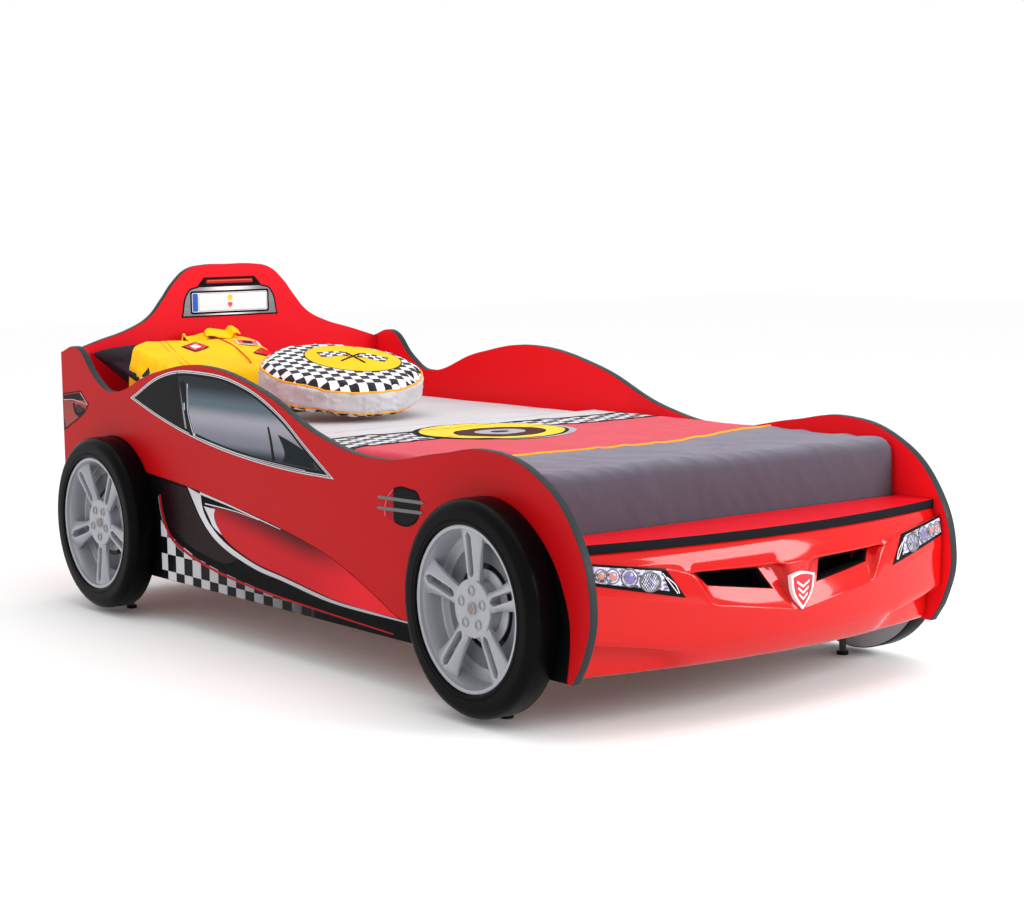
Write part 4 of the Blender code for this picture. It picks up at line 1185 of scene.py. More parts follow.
def make_lamps(bumper):
    """Headlight films: dark base, bright reflector, four round lamps and two lines at the tip."""
    tree = surface_of(bumper)
    finishes = ("gloss_black", "lamp_chrome", "amber_lens", "violet_lens", "lamp_grid", "steel",
                "white_print")
    for side, word in SIDES:
        shape = Shape()
        corners = [(side * x, z) for x, z in LAMP]
        pressed(shape, tree, corners, 0.0014, 0)
        inner = [(side * x, z) for x, z in ((0.3050, 0.2660), (0.3190, 0.3030), (0.4530, 0.3225),
                                            (0.4530, 0.2935))]
        pressed(shape, tree, inner, 0.0018, 1)
        for x, z, radius in ((0.4390, 0.3050, 0.0115), (0.4165, 0.3020, 0.0125)):
            lens(shape, tree, x, z, radius, 1, side, 0.0006)
            lens(shape, tree, x, z, radius * 0.62, 2, side)
        lens(shape, tree, 0.3840, 0.2970, 0.0160, 1, side, 0.0008)
        lens(shape, tree, 0.3840, 0.2970, 0.0110, 3, side, 0.0022)
        lens(shape, tree, 0.3430, 0.2860, 0.0205, 4, side, 0.0012, squash=0.84)
        lens(shape, tree, 0.3430, 0.2860, 0.0060, 3, side, 0.0020)
        for shift in (0.0, 0.008):
            path = smooth_line(((0.316 - shift, 0.299 - shift, 0), (0.300 - shift, 0.276, 0),
                                (0.288 - shift * 0.4, 0.2600, 0)), 6)
            shape.rope([on_bumper(tree, side * p[0], p[1], 0.0019) for p in path], 0.0009, 6, False)
        made = shape.piece("headlamp_" + word, finishes, merge=0.00001)
        settle(made, "lamp_film", "headlight_" + word)


def make_badge(bumper):
    """A plain enamelled shield with chevrons on the centre ridge."""
    outline = refined(board_outline("bumper_badge", 1))
    face_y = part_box("bumper_badge")[0].y
    tree = surface_of(bumper)

    def place(a, b, depth):
        return (a, face_y + 0.0012 - depth, b)

    shape = Shape()
    top, tip = max(z for _, z in outline), min(z for _, z in outline)
    back = (on_bumper(tree, 0.0, (top + tip) / 2, 0.0).y - face_y) + 0.0008
    shape.plate(outline, -back, 0.0, place, 0)
    shape.plate(inset(outline, 0.0042), 0.0, 0.0004, place, 1)
    for drop in (0.016, 0.028, 0.040):
        half = 0.019 - drop * 0.20
        chevron = [(-half, top - drop), (0.0, top - drop - 0.010), (half, top - drop),
                   (half, top - drop - 0.0045), (0.0, top - drop - 0.0145),
                   (-half, top - drop - 0.0045)]
        shape.plate(chevron, 0.0004, 0.0008, place, 0)
    made = shape.piece("shield_badge", ("white_print", "badge_red"), merge=0,
                       sharp=math.radians(30))
    step = made.modifiers.new("soft", "BEVEL")
    step.width, step.segments, step.limit_method = 0.0004, 2, "ANGLE"
    return settle(applied(made), "badge_plastic", "bumper_badge")


def make_intakes(bumper):
    """Dark ducts behind the intakes, up to the dark board at their back."""
    tree = surface_of(bumper)
    backing_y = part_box("grille_backing")[0].y
    for side, word in SIDES:
        shape = Shape()
        outline = [(side * x, z) for x, z in rounded([(x, z, "v") for x, z in INTAKE], 10)]
        rows = []
        for depth, grow in ((0.0034, 0.0), (0.020, 0.0006), (0.034, 0.0012)):
            ring = inset(outline, -0.0004 - grow)
            rows.append([on_bumper(tree, a, b, 0.0) + Vector((0, depth, 0))
                         for a, b in ring])
        base = max(point.y for point in rows[0])
        for level, row in enumerate(rows[1:], 1):
            row[:] = [Vector((p.x, min(base + 0.012 * level, backing_y - 0.001), p.z)) for p in row]
        shape.grid(rows, 0, True)
        made = shape.piece("intake_duct_" + word, ("gloss_black",), outward=False)
        settle(walled(made, 0.0012, 0.0), "black_plastic")
    coated("grille_backing", "gloss_black")


# ---- wheels -------------------------------------------------------------------------------------
def repeated(piece, name, values, points_of, coat):
    """Copies of a mesh at points, made by a node tree and left as a plain mesh.

    values lists (label, kind, value) of the tree's inputs; points_of wires the points from the
    tree's inputs and gives their socket and the copies' rotation, or None."""
    tree = bpy.data.node_groups.new(name, "GeometryNodeTree")
    nodes, links, face = tree.nodes, tree.links, tree.interface
    face.new_socket("Geometry", in_out="INPUT", socket_type="NodeSocketGeometry")
    values = (*values, ("Finish", "Material", finish(coat)))
    sockets = [face.new_socket(label, in_out="INPUT", socket_type="NodeSocket" + kind)
               for label, kind, _ in values]
    face.new_socket("Geometry", in_out="OUTPUT", socket_type="NodeSocketGeometry")
    start, end = nodes.new("NodeGroupInput"), nodes.new("NodeGroupOutput")
    copies = nodes.new("GeometryNodeInstanceOnPoints")
    real = nodes.new("GeometryNodeRealizeInstances")
    paint = nodes.new("GeometryNodeSetMaterial")
    points, turn = points_of(nodes, links, start.outputs)
    links.new(points, copies.inputs["Points"])
    links.new(start.outputs["Geometry"], copies.inputs["Instance"])
    if turn:
        links.new(turn, copies.inputs["Rotation"])
    links.new(copies.outputs[0], real.inputs[0])
    links.new(real.outputs[0], paint.inputs["Geometry"])
    links.new(start.outputs["Finish"], paint.inputs["Material"])
    links.new(paint.outputs[0], end.inputs[0])
    step = piece.modifiers.new("repeat", "NODES")
    step.node_group = tree
    for socket, (_, _, value) in zip(sockets, values):
        step[socket.identifier] = value
    return applied(piece)


def repeat_round(piece, count, clocking, coat):
    """Copies around the X axis."""
    def points_of(nodes, links, given):
        points = nodes.new("GeometryNodePoints")
        index = nodes.new("GeometryNodeInputIndex")
        share, whole = nodes.new("ShaderNodeMath"), nodes.new("ShaderNodeMath")
        share.operation, whole.operation = "DIVIDE", "MULTIPLY_ADD"
        turn = nodes.new("ShaderNodeCombineXYZ")
        links.new(given["Count"], points.inputs["Count"])
        links.new(index.outputs[0], share.inputs[0])
        links.new(given["Count"], share.inputs[1])
        links.new(share.outputs[0], whole.inputs[0])
        whole.inputs[1].default_value = 2 * math.pi
        links.new(given["Clocking"], whole.inputs[2])
        links.new(whole.outputs[0], turn.inputs[0])
        return points.outputs[0], turn.outputs[0]

    return repeated(piece, "repeat_round_axle",
                    (("Count", "Int", count), ("Clocking", "Float", clocking)), points_of, coat)


def moved(piece, place):
    """Every vertex of a piece put through a function; the shape is closed, so it is turned out."""
    for vertex in piece.data.vertices:
        vertex.co = place(*vertex.co)
    work = bmesh.new()
    work.from_mesh(piece.data)
    bmesh.ops.recalc_face_normals(work, faces=work.faces)
    work.to_mesh(piece.data)
    work.free()
    piece.data.set_sharp_from_angle(angle=math.radians(35))
    return piece


LUG_CIRCLE = 0.0345          # from the axle to a lug bolt
SPOKE_ROOT, SPOKE_TIP = 0.046, 0.1502


class Wheel:
    """Sizes of one wheel, read from its CAD solids. Depths run outwards from the board's side."""

    def __init__(self, tag):
        low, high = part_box("tyre_" + tag)
        self.side = -1 if tag.endswith("left") else 1
        self.centre_y, self.centre_z = (low.y + high.y) / 2, (low.z + high.z) / 2
        self.radius = (high.z - low.z) / 2
        self.back = min(abs(low.x), abs(high.x))
        self.width = abs(high.x - low.x)
        rim_low, rim_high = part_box("rim_" + tag)
        self.rim = (rim_high.z - rim_low.z) / 2
        self.rim_back = min(abs(rim_low.x), abs(rim_high.x)) - self.back
        self.rim_face = max(abs(rim_low.x), abs(rim_high.x)) - self.back

    def place(self, depth, up, along):
        return (self.side * (self.back + depth), self.centre_y + along, self.centre_z + up)


def arc(centre, radius, start, end, steps):
    """Points of a round stretch: (axial, radius) pairs, angles from the outward axis."""
    return [(centre[0] + radius * math.cos(start + (end - start) * k / steps),
             centre[1] + radius * math.sin(start + (end - start) * k / steps))
            for k in range(steps + 1)]


def tyre_profile(wheel):
    shoulder = sizes().tyre_shoulder
    face, bore, skirt = wheel.width, wheel.rim + GAP, wheel.radius - 0.0018
    section = [(0.0, skirt), (wheel.rim_back, skirt), (wheel.rim_back, bore),
               (wheel.rim_face - 0.002, bore)]
    section += arc((face - 0.0035, bore + 0.0035), 0.0035, -math.pi * 0.75, 0.0, 6)[1:]
    section += [(face, bore + 0.0075), (face - 0.0012, bore + 0.0085),
                (face - 0.0012, bore + 0.0097), (face, bore + 0.0108)]
    section += arc((face - shoulder, wheel.radius - shoulder), shoulder, 0.0, math.pi / 2, 14)
    section += [(face * 0.5, wheel.radius), (0.0015, wheel.radius), (0.0, wheel.radius - 0.0008)]
    return section


def rim_profile(wheel):
    face, back, rim = wheel.rim_face, wheel.rim_back, wheel.rim
    section = [(back, 0.034), (back + 0.004, 0.034), (back + 0.004, 0.1395)]
    section += arc((back + 0.009, 0.1395), 0.005, -math.pi, -math.pi * 1.5, 4)
    section += [(back + 0.022, 0.1462), (face - 0.014, 0.1484), (face - 0.010, 0.1500),
                (face - 0.0075, 0.1508), (face - 0.0022, 0.1512)]
    section += arc((face - 0.0022, 0.1534), 0.0022, -math.pi / 2, 0.0, 5)[1:]
    section += arc((face - 0.0025, rim - 0.0025), 0.0025, 0.0, math.pi / 2, 5)
    section += [(face - 0.006, rim), (face - 0.010, rim - 0.0035), (back, rim - 0.0080)]
    return section


def spoke(wheel):
    """One split spoke along +Y from the hub to the barrel, with its lug boss."""
    face = wheel.rim_face
    slot = sizes().slot_width / 2
    shape = Shape()
    for half in (-1, 1):
        rows = []
        for step in range(25):
            t = step / 24
            r = SPOKE_ROOT + (SPOKE_TIP - SPOKE_ROOT) * t
            flare = max(0.0, (t - 0.15) / 0.85)
            outer = 0.0190 + 0.0175 * flare ** 1.5 + 0.004 * max(0.0, (t - 0.85) / 0.15)
            inner = slot * min(1.0, max(0.0, (t - 0.14) / 0.08)) ** 0.5 * \
                min(1.0, max(0.0, (0.93 - t) / 0.05)) ** 0.5
            top = face - 0.0150 + 0.0085 * t ** 1.3
            low = top - 0.016
            slope = 0.0035 + 0.0075 * t
            ease = min(0.0012, max(inner, 0.0001) * 0.5)
            wide = outer - inner
            section = [(inner, low), (inner, top - 0.0030), (inner + ease, top - 0.0008),
                       (inner + 0.0030, top), (inner + 0.0030 + wide * 0.16, top - 0.0003),
                       (inner + wide * 0.55, top - slope * 0.35),
                       (outer - 0.0016, top - slope * 0.92), (outer, top - slope - 0.0016),
                       (outer + 0.0004, low + 0.002), (outer - 0.001, low)]
            rows.append([(depth, r, half * lateral) for lateral, depth in section])
        shape.tube(rows)
    boss = [(face - 0.030, 0.0068), (face - 0.0140, 0.0100), (face - 0.0122, 0.0098),
            (face - 0.0115, 0.0088), (face - 0.0122, 0.0074), (face - 0.0200, 0.0068)]
    shape.turned(boss, lambda depth, a, b: (depth, LUG_CIRCLE + a, b), 28)
    return shape


def lug_bolt(wheel):
    """A hexagon bolt head sunk in its boss."""
    face = wheel.rim_face
    shape = Shape()
    for low, high, radius, sides in ((face - 0.024, face - 0.0185, 0.0070, 20),
                                     (face - 0.0185, face - 0.0150, 0.0050, 6)):
        ring = [(LUG_CIRCLE + radius * math.cos(a), radius * math.sin(a)) for a in around(sides)]
        shape.plate(ring, low, high, lambda a, b, depth: (depth, a, b))
    return shape


def make_wheel(tag):
    wheel = Wheel(tag)
    face, back = wheel.rim_face, wheel.rim_back
    clocking = 0.0 if tag.startswith("front") else math.pi
    tyre = Shape()
    tyre.turned(tyre_profile(wheel), wheel.place, 128)
    settle(tyre.piece("tyre_shell_" + tag, ("tyre_black",)), "tyre_plastic", "tyre_" + tag)
    rim = Shape()
    rim.turned(rim_profile(wheel), wheel.place, 128)
    hub = [(back + 0.004, 0.010), (back + 0.004, 0.052), (face - 0.024, 0.056),
           (face - 0.0180, 0.0565), (face - 0.0155, 0.0550), (face - 0.0146, 0.0520),
           (face - 0.0146, 0.0180), (face - 0.0160, 0.0150), (face - 0.0160, 0.010)]
    cap = [(face - 0.020, 0.0), (face - 0.020, 0.0112), (face - 0.0125, 0.0112),
           (face - 0.0112, 0.0098), (face - 0.0118, 0.0090), (face - 0.0108, 0.0)]
    emblem = [(face - 0.0116, 0.0), (face - 0.0112, 0.0086), (face - 0.0104, 0.0078),
              (face - 0.0100, 0.0)]
    brake = [(back + 0.004, 0.083), (back + 0.0055, 0.083), (back + 0.0060, 0.086),
             (back + 0.0060, 0.117), (back + 0.0050, 0.119), (back + 0.004, 0.119)]
    bell = [(back + 0.004, 0.050), (back + 0.0075, 0.050), (back + 0.0080, 0.052),
            (back + 0.0080, 0.070), (back + 0.0070, 0.0715), (back + 0.004, 0.0715)]
    groove = [(back + 0.0040, 0.0700), (back + 0.0044, 0.0700), (back + 0.0044, 0.0845),
              (back + 0.0040, 0.0845)]
    for section, steps, mark in ((hub, 96, 0), (cap, 48, 0), (emblem, 36, 1), (brake, 96, 3),
                                 (bell, 96, 4), (groove, 96, 2)):
        rim.turned(section, wheel.place, steps, mark)
    settle(rim.piece("rim_dish_" + tag, ("rim_silver", "dull_brass", "gloss_black", "rim_shade",
                                         "wheel_grey")), "rim_plastic", "rim_" + tag)
    for name, shape, coat in (("spokes_", spoke(wheel), "rim_silver"),
                              ("lug_bolts_", lug_bolt(wheel), "rim_shade")):
        made = shape.piece(name + tag, (coat,))
        made = repeat_round(made, sizes().spoke_count, clocking, coat)
        settle(moved(made, wheel.place), "rim_plastic")
    low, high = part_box("wheel_disc_" + tag)
    radius, thick = (high.z - low.z) / 2, high.x - low.x
    disc = Shape()
    section = [(0.0, 0.004), (0.0, radius - 0.0006), (0.0006, radius), (thick - 0.0006, radius),
               (thick, radius - 0.0006), (thick, 0.004)]
    disc.turned(section, wheel.place, 128)
    settle(disc.piece("back_disc_" + tag, ("wheel_grey",)), "disc_board", "wheel_disc_" + tag)


# ---- feet and slats -----------------------------------------------------------------------------
def make_foot(tag):
    """Screw-in foot: round pad with finger grips, and a threaded stem."""
    low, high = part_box("levelling_foot_" + tag)
    x, y = (low.x + high.x) / 2, (low.y + high.y) / 2
    pad, grips, grip_depth = (high.x - low.x) / 2, 14, 0.035
    shape = Shape()
    rows = []
    for height, share in ((0.0, 0.90), (0.0008, 0.985), (0.0030, 1.0), (0.0066, 0.99),
                          (0.0076, 0.94), (0.0080, 0.80), (0.0080, 0.50)):
        reach = [(a, pad * share * (1 - grip_depth * (1 + math.cos(a * grips)) / 2))
                 for a in around(84)]
        rows.append([(x + r * math.cos(a), y + r * math.sin(a), height) for a, r in reach])
    shape.tube(rows)
    pitch, radius, pad_top = 0.0020, 0.0080, 0.0080
    turns = int((high.z - pad_top) / pitch)
    stem = []
    for k in range(turns * 4 + 1):
        z = 0.0076 + k * pitch / 4
        reach = radius - (0.0, 0.0005, 0.0010, 0.0005)[k % 4]
        stem.append([(x + reach * math.cos(a), y + reach * math.sin(a), min(z, high.z))
                     for a in around(28)])
    shape.tube(stem, 1)
    made = shape.piece("screw_foot_" + tag, ("black_plastic", "steel"))
    settle(made, "black_plastic", "levelling_foot_" + tag, body="foot_" + tag)


def repeat_along_y(piece, count, pitch, coat):
    """Copies in a row along Y."""
    def points_of(nodes, links, given):
        row = nodes.new("GeometryNodeMeshLine")
        links.new(given["Count"], row.inputs["Count"])
        links.new(given["Pitch"], row.inputs["Offset"])
        return row.outputs[0], None

    return repeated(piece, "repeat_in_a_row",
                    (("Count", "Int", count), ("Pitch", "Vector", pitch)), points_of, coat)


def long_bar(low, high, ease):
    """A bar along X or Y with eased edges, as a closed shape."""
    shape = Shape()
    axis = 0 if high.x - low.x > high.y - low.y else 1
    other = 1 - axis
    section = capsule(low[other], high[other], low.z, high.z, ease)

    def place(a, b, depth):
        return (depth, a, b) if axis == 0 else (a, depth, b)

    shape.plate(section, low[axis], high[axis], place)
    return shape


def make_slat_base():
    slats = sorted(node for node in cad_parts
                   if node.startswith("slat_") and "rail" not in node)
    low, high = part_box(slats[0])
    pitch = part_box(slats[1])[0].y - low.y
    made = long_bar(low, high, 0.004).piece("bed_slats", ("beech",))
    made = repeat_along_y(made, len(slats), (0.0, pitch, 0.0), "beech")
    settle(made, "beech", *slats)
    for _, word in SIDES:
        low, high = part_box("slat_rail_" + word)
        settle(long_bar(low, high, 0.002).piece("side_rail_" + word, ("beech",)), "beech",
               "slat_rail_" + word)
    screws = Shape()
    for side, _ in SIDES:
        for y_share in (0.08, 0.29, 0.5, 0.71, 0.92):
            y = low.y + (high.y - low.y) * y_share
            z = (low.z + high.z) / 2
            inner = min(abs(low.x), abs(high.x))
            head = [(0.0005, 0.0), (0.0005, 0.0012), (0.0, 0.0018), (-0.0012, 0.0042),
                    (0.0, 0.0046),
                    (0.0012, 0.0040), (0.0018, 0.0020), (0.0016, 0.0)]
            screws.turned(head, lambda d, a, b: (side * (inner - d), y + a, z + b), 20)
    settle(screws.piece("rail_screws", ("steel",)), "beech")
    for tag in WHEELS:
        coated("leg_block_" + tag, "black_plastic")


# ---- mattress and bedspread ---------------------------------------------------------------------
def eased_to(point, low, high, radius):
    """A point of a box moved onto the same box with round edges."""
    core = Vector([min(max(point[k], low[k] + radius), high[k] - radius) for k in range(3)])
    away = Vector(point) - core
    return core + away.normalized() * radius if away.length > 0.000001 else Vector(point)


def steps_between(low, high, pitch):
    count = max(2, int(round((high - low) / pitch)))
    return [low + (high - low) * k / count for k in range(count + 1)]


def make_mattress():
    """Mattress in its fitted sheet: round edges, a slightly crowned top, faint pulls."""
    low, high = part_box("mattress")
    radius, middle_z = sizes().mattress_round, (low.z + high.z) / 2
    xs, ys = steps_between(low.x, high.x, 0.016), steps_between(low.y, high.y, 0.016)
    zs = steps_between(low.z, high.z, 0.012)

    def soft(point):
        spot = eased_to(point, low, high, radius)
        wave = noise.noise(Vector((spot.x * 5, spot.y * 5, spot.z * 9)))
        fine = noise.noise(Vector((spot.x * 16 + 7, spot.y * 14, spot.z * 20)))
        inward = Vector((math.copysign(1.0, -spot.x) * (abs(spot.x) > high.x - 0.05), 0.0,
                         -1.0 if spot.z > middle_z else 0.0))
        return spot + inward * (0.0012 + 0.0010 * wave + 0.0006 * fine)

    shape = Shape()
    for z in (high.z, low.z):
        shape.grid([[soft((x, y, z)) for x in xs] for y in ys], 0,
                   flat=[[(x, y) for x in xs] for y in ys])
    for x in (low.x, high.x):
        shape.grid([[soft((x, y, z)) for y in ys] for z in zs], 0,
                   flat=[[(z, y) for y in ys] for z in zs])
    for y in (low.y, high.y):
        shape.grid([[soft((x, y, z)) for x in xs] for z in zs], 0,
                   flat=[[(x, z) for x in xs] for z in zs])
    made = shape.piece("sheeted_mattress", ("sheet_cotton",), merge=0.0004, sharp=0)
    settle(made, "sheet_cotton", "mattress")
    return made


def spread_lines(x):
    """Y of the lines across the spread at x: head edge, two band edges, piping."""
    share = (x + 0.45) / 0.90
    head = SPREAD_HIGH.y - 0.004 - 0.004 * math.sin(x * 9)
    top = -0.058 + 0.026 * share + 0.006 * math.sin(x * 14)
    low = -0.232 + 0.070 * min(share * 1.6, 1.0) + 0.006 * math.sin(x * 11 + 1)
    piping = -0.588 - 0.022 * math.exp(-((x - 0.02) / 0.16) ** 2) + \
        0.062 * max(0.0, (x - 0.12) / 0.25) ** 1.2 * (x < 0.36) + 0.060 * (x >= 0.36)
    return head, top, low, piping


def make_spread():
    """Bedspread: pale head part, band of squares, red middle, corded line, grey foot part."""
    low, high = MATTRESS_LOW, MATTRESS_HIGH
    radius = sizes().mattress_round - 0.008
    lift, side_drop = 0.0034, 0.040
    half = PANEL_INNER - 0.0012
    foot_drop = high.z - SPREAD_LOW.z - 0.002
    outer_low = Vector((-half, low.y - lift, low.z))
    outer_high = Vector((half, high.y, high.z + lift))
    top_z = outer_high.z

    def drape(flat_x, flat_y):
        over = max(abs(flat_x) - half, 0.0)
        down = max(outer_low.y - flat_y, 0.0)
        turn = min(down / 0.055, 1.0)
        turn = turn * turn * (3 - 2 * turn)
        x = math.copysign(min(abs(flat_x), half), flat_x)
        y = max(flat_y, outer_low.y) + over * turn
        z = top_z - over * (1 - turn) - down
        spot = eased_to((x, y, z), outer_low, outer_high, radius)
        pull = noise.noise(Vector((flat_x * 6, flat_y * 5, 3.0)))
        fine = noise.noise(Vector((flat_x * 30, flat_y * 7, 1.0)))
        ripple = noise.noise(Vector((flat_x * 16, flat_y * 3.0, 8.0)))
        lines = abs(noise.noise(Vector((flat_x * 13 + flat_y * 9, flat_y * 5 - flat_x * 2, 6.0))))
        front = min(down / 0.04, 1.0)
        loose = min(max((-0.45 - flat_y) / 0.25, 0.15), 1.0)
        crease = 0.0045 * max(0.0, 0.16 - lines) / 0.16 * loose
        spot.z += (0.0024 * pull + 0.0010 * fine + crease) * (1 - front) + 0.0016
        spot.y -= (0.0020 * ripple + 0.0010 * fine + 0.3 * crease) * front + 0.0022 * front
        return spot

    columns = [-half - side_drop + (2 * half + 2 * side_drop) * k / 120 for k in range(121)]
    sections = (14, 20, 44, 58)
    foot_end = outer_low.y - foot_drop
    rows, flats, kinds = [], [], []
    for j in range(sum(sections) + 1):
        row, flat = [], []
        place, part = j, 0
        while part < 3 and place > sections[part]:
            place -= sections[part]
            part += 1
        for x in columns:
            marks = (*spread_lines(max(-0.45, min(0.45, x))), foot_end)
            y = marks[part] + (marks[part + 1] - marks[part]) * place / sections[part]
            row.append(drape(x, y))
            flat.append((x, y))
        rows.append(row)
        flats.append(flat)
        kinds.append(part)
    shape = Shape()
    shape.grid(rows, 0, flat=flats, mark_of=lambda i, j: kinds[j + 1] if j else 0)
    # the foot part's grey carries painted light on the top and painted shade where it hangs
    finishes = ("spread_top", "spread_checks", "spread_red", "spread_grey")
    made = shape.piece("bed_spread", finishes, sharp=0, outward=False)
    faced(made, Vector((0.0, 0.0, 1.0)))
    made = walled(made, 0.0016, -1.0)
    tree = surface_of(made)

    def resting(x, y, above):
        hit, *_ = tree.ray_cast(Vector((x, y, top_z + 0.2)), Vector((0, 0, -1)))
        return (hit if hit else Vector((x, y, top_z))) + Vector((0, 0, above))

    cords = Shape()
    xs = [-half + 0.02 + (2 * half - 0.04) * k / 110 for k in range(111)]
    for line, thick, mark in ((3, sizes().piping_radius, 0), (1, 0.0017, 1), (2, 0.0017, 1)):
        path = [resting(x, spread_lines(x)[line], thick * 0.3) for x in xs]
        cords.rope(path, thick, mark, False)
    trim = cords.piece("spread_cording", ("piping_cord", "print_black"), merge=0.00001)
    settle(made, "spread_cotton", "bedspread")
    settle(trim, "spread_cotton")
    roundel = make_roundel(resting)
    return made


def make_roundel(resting):
    """Printed wheel motif in the middle of the spread, sewn on as flat patches."""
    shape = Shape()
    under = Vector((0.0, 0.0, -0.0003))
    layers = (
        ((-0.050, -0.168), 0.172, 0.186, 0.0, 3, 0.0007),
        ((-0.038, -0.172), 0.166, 0.180, 0.0, 2, 0.0011),
        ((-0.050, -0.166), 0.163, 0.176, 0.0, 3, 0.0014),
        ((-0.050, -0.164), 0.156, 0.168, 0.0, 0, 0.0017),
        ((-0.052, -0.196), 0.106, 0.100, 0.5, 3, 0.0021),
        ((-0.052, -0.196), 0.100, 0.094, 0.5, 1, 0.0024),
        ((-0.052, -0.196), 0.060, 0.055, 0.5, 2, 0.0028),
        ((-0.052, -0.196), 0.022, 0.020, 0.5, 1, 0.0031),
    )
    steps, rings = 72, 10
    for centre, wide, long, turn, mark, above in layers:
        rows = []
        for j in range(rings + 1):
            share = j / rings
            rows.append([resting(*spun(centre, wide * share * math.cos(a),
                                       long * share * math.sin(a), turn), above)
                         for a in around(steps)])
        shape.skin(rows, under, mark, True)
    made = shape.piece("spread_roundel", ("print_yellow", "print_brown", "print_grey",
                                          "print_black"), merge=0.00001)
    return settle(made, "spread_cotton")


# ---- pillow, jacket, cushion --------------------------------------------------------------------
def swollen(piece, voxel, pressure, cap):
    """Fill a closed cloth form with air for twenty frames and keep the result, capped."""
    step = piece.modifiers.new("cells", "REMESH")
    step.mode, step.voxel_size = "VOXEL", voxel
    piece = applied(piece)
    rest = [vertex.co.copy() for vertex in piece.data.vertices]
    sim = piece.modifiers.new("filling", "CLOTH")
    sim.settings.quality = 5
    sim.settings.mass = 0.15
    sim.settings.use_pressure = True
    sim.settings.uniform_pressure_force = pressure
    sim.settings.tension_stiffness = sim.settings.compression_stiffness = 12
    sim.settings.shear_stiffness = 5
    sim.settings.bending_stiffness = 0.3
    sim.settings.effector_weights.gravity = 0.0
    sim.point_cache.frame_start, sim.point_cache.frame_end = 1, 20
    scene = bpy.context.scene
    for number in range(1, 21):
        scene.frame_set(number)
    graph = bpy.context.evaluated_depsgraph_get()
    swelled = [vertex.co.copy() for vertex in piece.evaluated_get(graph).data.vertices]
    piece.modifiers.clear()
    scene.frame_set(1)
    for vertex, start, end in zip(piece.data.vertices, rest, swelled):
        move = end - start
        if move.length > cap:
            move = move.normalized() * cap
        vertex.co = start + move
    piece.data.update()
    return piece


def fitted(piece, low, high):
    """Stretch a piece to a box between two corners."""
    spots = [vertex.co for vertex in piece.data.vertices]
    for k in range(3):
        least, most = min(spot[k] for spot in spots), max(spot[k] for spot in spots)
        scale = (high[k] - low[k]) / (most - least)
        for spot in spots:
            spot[k] = low[k] + (spot[k] - least) * scale
    piece.data.update()


def pillow_form(width, depth, thick):
    """A flat pillow with pointed corners, lying at z = 0 with one corner at the origin."""
    pitch, seam = 0.012, 0.004   # the mesh's pitch, and half the thickness at the seam
    xs, ys = steps_between(0.0, width, pitch), steps_between(0.0, depth, pitch)

    def spot(x, y, side, bulging):
        u, v = 2 * x / width - 1, 2 * y / depth - 1
        bulge = max(0.0, (1 - u**4) * (1 - v**4)) ** 0.6 if bulging else 0.0
        dent = 1 - 0.045 * (1 - v * v) * abs(u) ** 3
        waist = 1 - 0.055 * (1 - u * u) * abs(v) ** 3
        return (width / 2 * (1 + u * dent), depth / 2 * (1 + v * waist),
                side * (seam + thick / 2 * bulge))

    shape = Shape()
    for side in (-1, 1):
        shape.grid([[spot(x, y, side, True) for x in xs] for y in ys])
    edge = [(x, ys[0]) for x in xs] + [(xs[-1], y) for y in ys[1:]] + \
        [(x, ys[-1]) for x in xs[-2::-1]] + [(xs[0], y) for y in ys[-2:0:-1]]
    shape.grid([[spot(x, y, side, False) for x, y in edge] for side in (-1, 1)], 0, True)
    return shape


def make_pillow():
    """Dark pillow, its back edge raised against the headboard."""
    width, depth = PILLOW_HIGH.x - PILLOW_LOW.x, 0.430
    made = pillow_form(width, depth, 0.060).piece("dark_pillow", ("pillow_cloth",), merge=0.00005)
    made = swollen(made, 0.006, 4.5, sizes().pillow_swell)
    fitted(made, (0.0, 0.0, -0.047), (width, depth, 0.047))
    floor_z = MATTRESS_HIGH.z + 0.0012
    limit_y = HEADBOARD_Y - 0.003

    def lean(x, y, z):
        share = min(max(y / depth, 0.0), 1.0)
        rise = 0.034 + 0.106 * share ** 1.35
        tilt = 0.106 * 1.35 * share ** 0.35 / depth
        fold = noise.noise(Vector((x * 9, y * 9, 4.0))) * 0.004
        spot = Vector((PILLOW_LOW.x + x, limit_y - 0.012 - depth + y - tilt * z * 0.6,
                       floor_z + rise + z + fold))
        spot.z = max(spot.z, floor_z + 0.0002)
        spot.y = min(spot.y, limit_y)
        return spot

    for vertex in made.data.vertices:
        vertex.co = lean(*vertex.co)
    made = subdivided(made, 1)
    settle(made, "pillow_cotton", "pillow")
    return made


